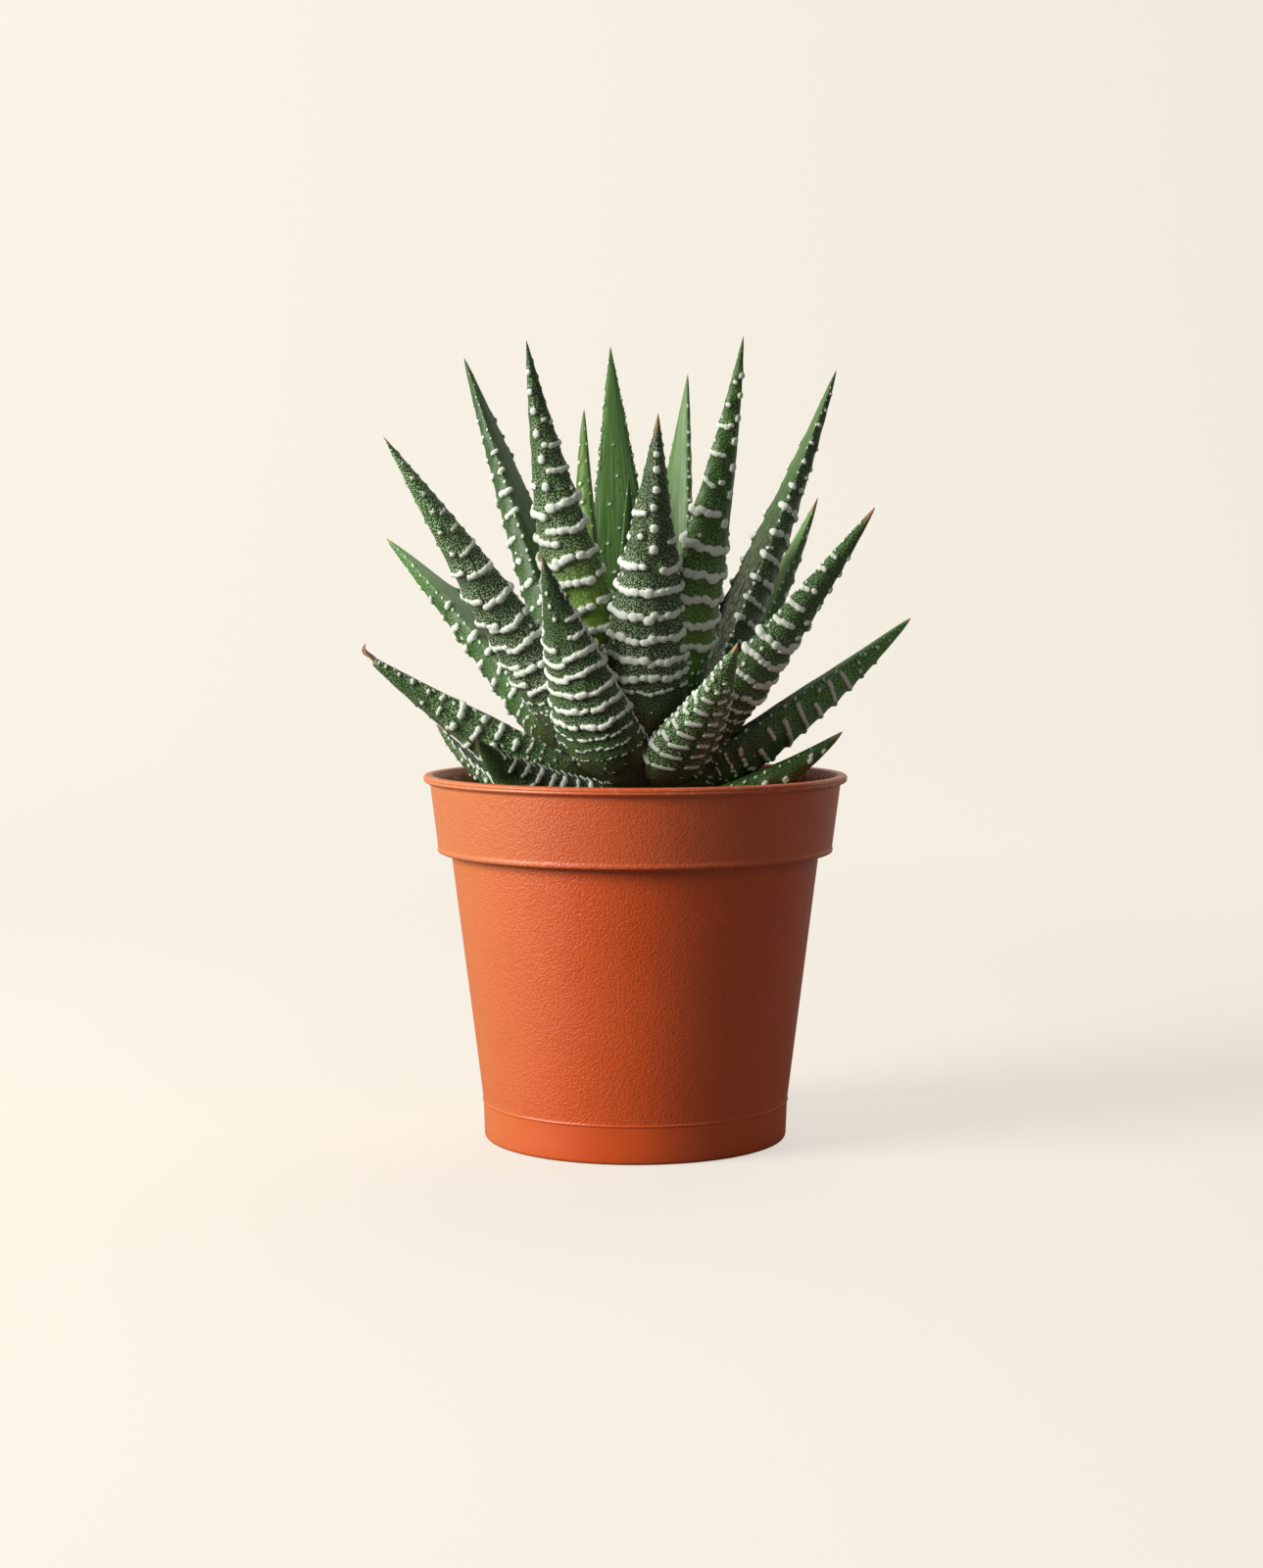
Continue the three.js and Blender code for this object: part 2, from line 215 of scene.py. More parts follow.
world = bpy.data.worlds.new("room")
world.use_nodes = True
room = world.node_tree.nodes["Background"]
room.inputs["Color"].default_value = (1.0, 0.98, 0.94, 1)
room.inputs["Strength"].default_value = 0.13
bpy.context.scene.world = world
bpy.context.scene.view_settings.view_transform = "Standard"


# ---------------------------------------------------------------------------------------------
# Pot: an injection-moulded nursery pot in terracotta-coloured polypropylene. A rolled bead runs
# round the mouth over a plain collar band; the collar steps in to the tapered body, and a raised
# mould line sits above the smooth foot. The outside has a fine leather grain off the mould.
# ---------------------------------------------------------------------------------------------

POT_COLUMNS = 288
POT_TOP_MM = 56.1
POT_REACH_MM = 32.55
FLOOR_TOP_MM = 1.1
CORNER_POINTS = 6
OVAL_SHARE = 0.0022
RIPPLE_MM = 0.035
RIPPLE_FROM_MM = 20
POT_OUTLINE_MM = [
    # radius, height, corner radius, from the middle of the underside out, up and in again
    (9.0, 0.0, 0.3), (9.8, 1.5, 0.3), (17.7, 1.5, 0.4), (18.5, 0.0, 0.3), (23.3, 0.0, 0.7),
    (23.50, 5.55, 0.10), (23.66, 5.80, 0.10), (23.54, 6.1, 0.12),
    (28.2, 43.95, 0.3), (29.75, 44.1, 0.25), (30.30, 44.35, 0.16), (30.34, 44.75, 0.14),
    (30.24, 45.1, 0.15), (31.42, 54.5, 0.2), (31.52, 54.86, 0.12), (32.2, 54.94, 0.22),
    (32.46, 55.22, 0.14), (32.36, 55.46, 0.1), (32.5, 55.72, 0.16), (32.2, POT_TOP_MM, 0.24),
    (31.0, POT_TOP_MM, 0.35), (30.35, 54.5, 0.3),
    (29.1, 45.3, 0.4), (28.3, 44.5, 0.4), (27.1, 44.1, 0.4),
    (21.9, 1.9, 0.5), (21.1, 1.1, 0.4), (19.3, 1.1, 0.3), (18.5, 2.6, 0.3), (9.0, 2.6, 0.3),
    (8.2, 1.1, 0.3),
]


def rounded_outline(corners, longest_step):
    """A line of (radius, height) through corners, each corner cut by a quadratic curve.

    The curve starts and ends at the corner's own radius along its two sides; straight runs are
    divided so that no step is longer than longest_step.
    """
    spots = np.array([c[:2] for c in corners], float)
    reach = np.array([c[2] for c in corners], float)
    before = np.vstack([[0.0, spots[0, 1]], spots[:-1]])
    after = np.vstack([spots[1:], [0.0, spots[-1, 1]]])
    share = np.linspace(0, 1, CORNER_POINTS)[:, None]
    line = []
    for spot, size, left, right in zip(spots, reach, before, after):
        start = spot + (left - spot) * min(size / np.linalg.norm(left - spot), 0.45)
        end = spot + (right - spot) * min(size / np.linalg.norm(right - spot), 0.45)
        if line:
            last = line[-1]
            run = start - last
            count = int(np.linalg.norm(run) // longest_step)
            line.extend([last + run * k / (count + 1) for k in range(1, count + 1)])
        line.extend((1 - share) ** 2 * start + 2 * share * (1 - share) * spot + share ** 2 * end)
    return np.array(line)


pot_line = rounded_outline(POT_OUTLINE_MM, longest_step=1.6)
pot_turn = all_round(POT_COLUMNS)
# A thin moulding is never quite round: the mouth is drawn less than a tenth of a millimetre into
# an oval, the wall has a faint ripple, and nothing reaches past the part's own size.
oval = 1 + OVAL_SHARE * np.cos(2 * pot_turn + 0.6)[None, :] * (pot_line[:, 1:] / POT_TOP_MM)
ripple = RIPPLE_MM * np.sin(5 * pot_turn + 1.0)[None, :] * np.sin(pot_line[:, 1:] / 9.0)
pot_radius = pot_line[:, :1] * oval + ripple * (pot_line[:, :1] > RIPPLE_FROM_MM)
pot_radius = np.minimum(pot_radius, POT_REACH_MM)
pot_points = turned(pot_radius, pot_turn, pot_line[:, 1:], 0, FLOOR_TOP_MM) * MM
pot_quads, pot_fans = ring_faces(len(pot_line), POT_COLUMNS)
pot_solid = surface("pot_solid", pot_points, pot_quads, pot_fans)

# Six drain holes through the channel under the floor.
DRAIN_HOLES = 6
DRAIN_CIRCLE_MM = 13.8
DRAIN_RADIUS_MM = 2.4
DRAIN_SIDES = 40
DRAIN_LOW_MM = 0.4
DRAIN_HIGH_MM = 3.7
levels = np.array([[DRAIN_LOW_MM], [DRAIN_HIGH_MM]])
rod = turned(np.full((2, 1), DRAIN_RADIUS_MM), all_round(DRAIN_SIDES), levels,
             DRAIN_LOW_MM, DRAIN_HIGH_MM)
rod_quads, rod_fans = ring_faces(2, DRAIN_SIDES)
drill_points = []
drill_quads = []
drill_fans = []
for hole, angle in enumerate(all_round(DRAIN_HOLES)):
    drill_points.append(rod + np.array([math.cos(angle), math.sin(angle), 0]) * DRAIN_CIRCLE_MM)
    drill_quads.append(rod_quads + len(rod) * hole)
    drill_fans.append(rod_fans + len(rod) * hole)
drill = surface("drain_drill", np.concatenate(drill_points) * MM, np.concatenate(drill_quads),
                np.concatenate(drill_fans))
cut = pot_solid.modifiers.new("drain_holes", "BOOLEAN")
cut.operation = "DIFFERENCE"
cut.solver = "EXACT"
cut.object = drill
drilled = bpy.data.meshes.new_from_object(
    pot_solid.evaluated_get(bpy.context.evaluated_depsgraph_get()))
pot = bpy.data.objects.new("nursery_pot", drilled)
drilled.name = "nursery_pot"
bpy.context.scene.collection.objects.link(pot)
bpy.data.objects.remove(pot_solid)
bpy.data.objects.remove(drill)


def group(name, output, **numbers):
    """A shader node group with a Vector input, the named number inputs and one number output.

    Returns the group's tree, the sockets that it is given and the socket that it gives out.
    """
    tree = bpy.data.node_groups.new(name, "ShaderNodeTree")
    tree.interface.new_socket(name="Vector", in_out="INPUT", socket_type="NodeSocketVector")
    for key, start in numbers.items():
        socket = tree.interface.new_socket(name=key, in_out="INPUT", socket_type="NodeSocketFloat")
        socket.default_value = start
    tree.interface.new_socket(name=output, in_out="OUTPUT", socket_type="NodeSocketFloat")
    given = tree.nodes.new("NodeGroupInput").outputs
    return tree, given, tree.nodes.new("NodeGroupOutput").inputs[output]


def placed(tree, effect, **inputs):
    """What the group effect gives in this material, with its inputs set or joined."""
    return node(tree, "ShaderNodeGroup", inputs, node_tree=effect).outputs[0]


def sums(tree, operation, *terms):
    """One sum of numbers or sockets."""
    return node(tree, "ShaderNodeMath", dict(enumerate(terms)), operation=operation).outputs[0]


def times(tree, a, b, plus=None):
    """a times b, and plus added where it is given."""
    if plus is None:
        return sums(tree, "MULTIPLY", a, b)
    return sums(tree, "MULTIPLY_ADD", a, b, plus)


def tinted(tree, amount, under, over):
    """The colour under, covered by the colour over as far as amount says."""
    return node(tree, "ShaderNodeMix", {0: amount, 6: under, 7: over}, data_type="RGBA").outputs[2]


# mottle: a soft cloudy value, for colour that varies over a surface.
mottle, given, out = group("mottle", "Value", Scale=100.0, Contrast=1.0)
cloud = node(mottle, "ShaderNodeTexNoise", {
    "Vector": given["Vector"], "Scale": given["Scale"], "Detail": 4.0, "Roughness": 0.55})
spread_out = sums(mottle, "SUBTRACT", cloud.outputs["Fac"], 0.5)
spread_out = times(mottle, spread_out, given["Contrast"], 0.5)
mottle.links.new(node(mottle, "ShaderNodeClamp", {"Value": spread_out}).outputs[0], out)

# speckle: separate round specks. Size is the share of the spacing that a speck fills, and Share
# is how many of the places hold one.
speckle, given, out = group("speckle", "Mask", Scale=1000.0, Size=0.3, Share=1.0)
cells = node(speckle, "ShaderNodeTexVoronoi", {
    "Vector": given["Vector"], "Scale": given["Scale"], "Randomness": 0.85}).outputs
disc = span(speckle, cells["Distance"], given["Size"], times(speckle, given["Size"], 0.55))
pick = node(speckle, "ShaderNodeSeparateColor", {"Color": cells["Color"]}).outputs[0]
speckle.links.new(times(speckle, disc, sums(speckle, "LESS_THAN", pick, given["Share"])), out)

# pebble grain: the height of a fine leather-like relief.
pebble, given, out = group("pebble_grain", "Height", Scale=1500.0)
worm = node(pebble, "ShaderNodeTexNoise", {
    "Vector": given["Vector"], "Scale": given["Scale"], "Detail": 1.5, "Roughness": 0.5,
    "Distortion": 0.25})
dimple = node(pebble, "ShaderNodeTexVoronoi", {
    "Vector": given["Vector"], "Scale": times(pebble, given["Scale"], 0.62)}, feature="SMOOTH_F1")
grain = span(pebble, worm.outputs["Fac"], 0.36, 0.64)
pebble.links.new(times(pebble, dimple.outputs["Distance"], 0.5, grain), out)


def new_material(name):
    """A material with its shader, its Object coordinates and its node tree."""
    material = bpy.data.materials.new(name)
    material.use_nodes = True
    tree = material.node_tree
    shader = tree.nodes["Principled BSDF"]
    return material, tree, shader, node(tree, "ShaderNodeTexCoord").outputs["Object"]


def finish_skin(tree, shader, colour, roughness, relief, strength, depth_mm):
    """Joins colour, roughness and relief to the shader; relief is a bump depth_mm high."""
    bump = node(tree, "ShaderNodeBump", {
        "Height": relief, "Strength": strength, "Distance": depth_mm * MM})
    tree.links.new(colour, shader.inputs["Base Color"])
    tree.links.new(roughness, shader.inputs["Roughness"])
    tree.links.new(bump.outputs[0], shader.inputs["Normal"])


plastic, tree, shader, here = new_material("pot_plastic")
place = node(tree, "ShaderNodeSeparateXYZ", {"Vector": here}).outputs
height = place["Z"]
flat_part = node(tree, "ShaderNodeCombineXYZ", {"X": place["X"], "Y": place["Y"]}).outputs[0]
radius = node(tree, "ShaderNodeVectorMath", {0: flat_part}, operation="LENGTH").outputs["Value"]
clouds = placed(tree, mottle, Vector=here, Scale=70.0, Contrast=1.4)
colour = tinted(tree, clouds, (0.480, 0.058, 0.0040, 1), (0.540, 0.068, 0.0055, 1))
streaks = node(tree, "ShaderNodeMapping", {"Vector": here, "Scale": (1, 1, 0.16)}).outputs[0]
flow = placed(tree, mottle, Vector=streaks, Scale=260.0, Contrast=1.6)
colour = tinted(tree, span(tree, flow, 0.55, 0.95, 0.0, 0.22), colour, (0.34, 0.047, 0.0105, 1))
# Painted sheen: the side turned to the window is painted a paler orange, as the window's sheen on
# it, and the collar a little all round.
painted_window_sheen = times(tree, span(tree, place["X"], -0.006, -0.031), 0.60)
colour = tinted(tree, painted_window_sheen, colour, (0.51, 0.20, 0.068, 1))
# Painted sheen: the collar is painted paler all round, as the sheen it catches.
painted_collar_sheen = span(tree, height, 0.0438, 0.0448, 0.0, 0.14)
colour = tinted(tree, painted_collar_sheen, colour, (0.56, 0.21, 0.095, 1))
specks = placed(tree, speckle, Vector=here, Scale=360.0, Size=0.09, Share=0.30)
colour = tinted(tree, times(tree, specks, 0.40), colour, (0.16, 0.045, 0.018, 1))
# The mouth is scuffed pale, most of all at one end; compost dust clings to the inner wall.
rim_part = span(tree, height, 0.0547, 0.0551)
worn_end = times(tree, span(tree, place["X"], 0.023, 0.031), rim_part)
rubbed = placed(tree, mottle, Vector=here, Scale=1300.0, Contrast=3.0)
end_scuff = times(tree, span(tree, rubbed, 0.30, 0.62), worn_end)
rim_scuff = times(tree, span(tree, rubbed, 0.60, 0.90), rim_part)
scuff = sums(tree, "MAXIMUM", times(tree, end_scuff, 0.75), times(tree, rim_scuff, 0.22))
colour = tinted(tree, scuff, colour, (0.52, 0.36, 0.25, 1))
# The middle of the collar's wall is at 24 mm plus 0.124 of the height.
mid_wall = times(tree, height, 0.124, 0.0240)
inside_part = span(tree, sums(tree, "SUBTRACT", mid_wall, radius), 0.0, 0.0003)
inside_part = times(tree, inside_part, span(tree, height, 0.0446, 0.0450))
dusty = placed(tree, mottle, Vector=here, Scale=900.0, Contrast=3.0)
dust = times(tree, times(tree, span(tree, dusty, 0.30, 0.75), inside_part), 0.7)
colour = tinted(tree, dust, colour, (0.10, 0.050, 0.028, 1))
# The grain covers the outside from the mould line to just under the bead.
grain_band = times(tree, span(tree, height, 0.0058, 0.0062), span(tree, height, 0.0546, 0.0541))
grain_band = times(tree, grain_band, span(tree, radius, 0.0220, 0.0228))
leather = placed(tree, pebble, Vector=here, Scale=3100.0)
# Painted shade: the grain's pits are painted darker, as shade in its hollows.
painted_pit_shade = times(tree, span(tree, leather, 0.55, 0.15), grain_band)
colour = tinted(tree, times(tree, painted_pit_shade, 0.20), colour, (0.26, 0.032, 0.006, 1))
gloss = span(tree, clouds, 0.2, 0.8, 0.42, 0.49)
gloss = times(tree, sums(tree, "MAXIMUM", dust, scuff), 0.3, gloss)
relief = times(tree, leather, times(tree, grain_band, 0.92, 0.08))
relief = times(tree, dust, 0.8, relief)
finish_skin(tree, shader, colour, gloss, relief, strength=0.7, depth_mm=0.05)
shader.inputs["Specular IOR Level"].default_value = 0.55
pot.data.materials.clear()
pot.data.materials.append(plastic)
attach(pot, "root")
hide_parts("pot")


# ---------------------------------------------------------------------------------------------
# Compost: dark, open potting mix, a little higher round the plant and sunk below the rim. Loose
# crumbs of peat and bark lie on it with a few white grains of perlite.
# ---------------------------------------------------------------------------------------------

SOIL_RINGS = 96
SOIL_COLUMNS = 240
SOIL_EDGE_MM = 28.3
SOIL_MIDDLE_MM = 0.4
SOIL_FOOT_MM = 1.5
GRAINS_FROM_MM = 6.0


def soil_top(radius, angle):
    """Height of the bed in mm: a low crown that falls to the edge, with lumps of three sizes."""
    crown = np.interp(radius, [0, 9, 18, SOIL_EDGE_MM], [47.0, 46.9, 45.9, 45.0])
    x = radius * np.cos(angle)
    y = radius * np.sin(angle)
    lumps = 0.30 * np.sin(0.55 * x + 1.3 * np.sin(0.4 * y)) * np.sin(0.6 * y + 0.7)
    lumps += 0.18 * np.sin(1.7 * x + 0.8 + np.sin(1.1 * y)) * np.sin(1.9 * y + np.sin(1.3 * x))
    lumps += 0.10 * np.sin(4.3 * x + 2.0 * np.sin(2.1 * y)) * np.sin(3.9 * y)
    return crown + lumps


ring_mm = np.linspace(SOIL_MIDDLE_MM, SOIL_EDGE_MM, SOIL_RINGS)[:, None]
soil_turn = all_round(SOIL_COLUMNS)[None, :]
# The sides and underside stand 0.3 to 0.8 mm inside the pot.
side_line = np.array([
    (28.0, 44.8), (26.6, 44.3), (24.6, 30.0), (22.9, 15.0), (21.55, 2.2), (20.8, SOIL_FOOT_MM),
    (19.3, SOIL_FOOT_MM), (18.8, 2.9), (8.7, 2.9), (7.9, SOIL_FOOT_MM),
    (SOIL_MIDDLE_MM, SOIL_FOOT_MM)])
bed_points = np.concatenate([
    turned(ring_mm, soil_turn, soil_top(ring_mm, soil_turn)),
    turned(side_line[:, :1], soil_turn, side_line[:, 1:], soil_top(0.0, 0.0), SOIL_FOOT_MM)]) * MM
bed_quads, bed_fans = ring_faces(SOIL_RINGS + len(side_line), SOIL_COLUMNS)
bed = surface("compost_bed", bed_points, bed_quads, bed_fans)


def scattered(name, seed, count, size_mm, squash, reach_mm, sunk, sides=7, rings=4):
    """Irregular grains on the bed: one small rounded form, stretched and turned for each grain.

    The form is a sphere of a few rings whose radius is uneven round it; each grain has its own
    size, flatness and turn, and sits sunk by a share of its size at a random spot on the bed.
    """
    rng = np.random.default_rng(seed)
    spot_radius = np.sqrt(rng.uniform(GRAINS_FROM_MM ** 2, reach_mm ** 2, count))
    spot_angle = rng.uniform(0, 2 * math.pi, count)
    size = rng.gamma(5.0, 0.2, count) * size_mm
    size = np.clip(size, 0.4 * size_mm, 2.0 * size_mm)
    lat = np.linspace(0, math.pi, rings + 2)[1:-1]
    sphere = turned(np.sin(lat)[:, None], all_round(sides), np.cos(lat)[:, None], 1, -1)
    uneven = rng.uniform(0.68, 1.2, (count, len(sphere), 1))
    stretch = np.stack([rng.uniform(0.8, 1.3, count), rng.uniform(0.7, 1.1, count),
                        rng.uniform(*squash, count)], -1)[:, None, :]
    grains = sphere[None] * uneven * stretch * size[:, None, None]
    spin = rng.uniform(0, 2 * math.pi, (count, 1))
    tilt = rng.normal(0, 0.35, (count, 1))
    x, y, z = grains[..., 0], grains[..., 1], grains[..., 2]
    x, z = x * np.cos(tilt) - z * np.sin(tilt), x * np.sin(tilt) + z * np.cos(tilt)
    x, y = x * np.cos(spin) - y * np.sin(spin), x * np.sin(spin) + y * np.cos(spin)
    x = x + (spot_radius * np.cos(spot_angle))[:, None]
    y = y + (spot_radius * np.sin(spot_angle))[:, None]
    z = z + (soil_top(spot_radius, spot_angle) + size * (0.6 - sunk))[:, None]
    quads, fans = ring_faces(rings, sides)
    step = np.arange(count)[:, None, None] * len(sphere)
    points = np.stack([x, y, z], -1).reshape(-1, 3) * MM
    return surface(name, points, (quads[None] + step).reshape(-1, 4),
                   (fans[None] + step).reshape(-1, 3))


crumbs = scattered("compost_crumbs", seed=11, count=1500, size_mm=0.62, squash=(0.5, 0.9),
                   reach_mm=27.4, sunk=0.45)
bark = scattered("bark_bits", seed=12, count=130, size_mm=1.25, squash=(0.25, 0.45),
                 reach_mm=26.0, sunk=0.15)
perlite = scattered("perlite_grains", seed=13, count=46, size_mm=0.75, squash=(0.7, 1.0),
                    reach_mm=26.5, sunk=0.25, sides=9, rings=6)


def earth_material(name, dark, light, rough, relief_mm):
    """Crumbly matter: two colours in clouds, fine grit over them, and a matt rough relief."""
    material, tree, shader, here = new_material(name)
    clouds = placed(tree, mottle, Vector=here, Scale=420.0, Contrast=2.2)
    grit = placed(tree, speckle, Vector=here, Scale=1900.0, Size=0.35, Share=0.35)
    colour = tinted(tree, times(tree, grit, 0.35), tinted(tree, clouds, dark, light), light)
    finish_skin(tree, shader, colour, span(tree, clouds, 0.1, 0.9, rough - 0.08, rough),
                placed(tree, pebble, Vector=here, Scale=2400.0), 0.8, relief_mm)
    return material


peat = earth_material("peat", (0.010, 0.006, 0.004, 1), (0.060, 0.036, 0.022, 1),
                      rough=0.98, relief_mm=0.14)
bark_skin = earth_material("bark", (0.035, 0.018, 0.010, 1), (0.13, 0.070, 0.036, 1),
                           rough=0.92, relief_mm=0.12)
perlite_skin = earth_material("perlite", (0.50, 0.47, 0.41, 1), (0.78, 0.76, 0.70, 1),
                              rough=0.90, relief_mm=0.10)
for piece, material in ((bed, peat), (crumbs, peat), (bark, bark_skin), (perlite, perlite_skin)):
    piece.data.materials.append(material)
    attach(piece, "root")
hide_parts("soil")


# ---------------------------------------------------------------------------------------------
# Stem: the short thick stub that carries the rosette. It is ringed by the scars of old leaves,
# green above and corky brown where it goes into the compost.
# ---------------------------------------------------------------------------------------------

STEM_RADIUS_MM = [3.2, 4.4, 4.8, 4.6, 3.4, 2.0]
STEM_HEIGHT_MM = [41.0, 43.0, 47.0, 55.0, 60.0, 64.0]
STEM_TOP_MM = 64.8
STEM_ROWS = 150
STEM_COLUMNS = 96
SCAR_PITCH_MM = 1.5
SCAR_DEPTH_MM = 0.22

stem_height = np.linspace(STEM_HEIGHT_MM[0], STEM_HEIGHT_MM[-1], STEM_ROWS)[:, None]
stem_turn = all_round(STEM_COLUMNS)[None, :]
stem_radius = np.interp(stem_height, STEM_HEIGHT_MM, STEM_RADIUS_MM)
# The scars climb round the stem as two narrow ridges, half a pitch apart.
scar = np.cos(2 * math.pi * stem_height / SCAR_PITCH_MM - stem_turn) ** 8
stem_radius = stem_radius - SCAR_DEPTH_MM * (1 - scar)
stem_radius = stem_radius + 0.05 * np.sin(7 * stem_turn + stem_height)
stem_points = turned(stem_radius, stem_turn, stem_height, STEM_HEIGHT_MM[0], STEM_TOP_MM) * MM
stem_quads, stem_fans = ring_faces(STEM_ROWS, STEM_COLUMNS)
stem = surface("crown_stem", stem_points, stem_quads, stem_fans)

bark_green, tree, shader, here = new_material("stem_skin")
height = node(tree, "ShaderNodeSeparateXYZ", {"Vector": here}).outputs["Z"]
clouds = placed(tree, mottle, Vector=here, Scale=500.0, Contrast=1.8)
corky = tinted(tree, clouds, (0.10, 0.058, 0.030, 1), (0.21, 0.135, 0.070, 1))
fresh = tinted(tree, clouds, (0.065, 0.085, 0.026, 1), (0.14, 0.15, 0.055, 1))
colour = tinted(tree, span(tree, height, 0.049, 0.058), corky, fresh)
finish_skin(tree, shader, colour, span(tree, clouds, 0.1, 0.9, 0.62, 0.8),
            placed(tree, pebble, Vector=here, Scale=2200.0), strength=0.6, depth_mm=0.12)
stem.data.materials.append(bark_green)
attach(stem, "root")
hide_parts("stem")
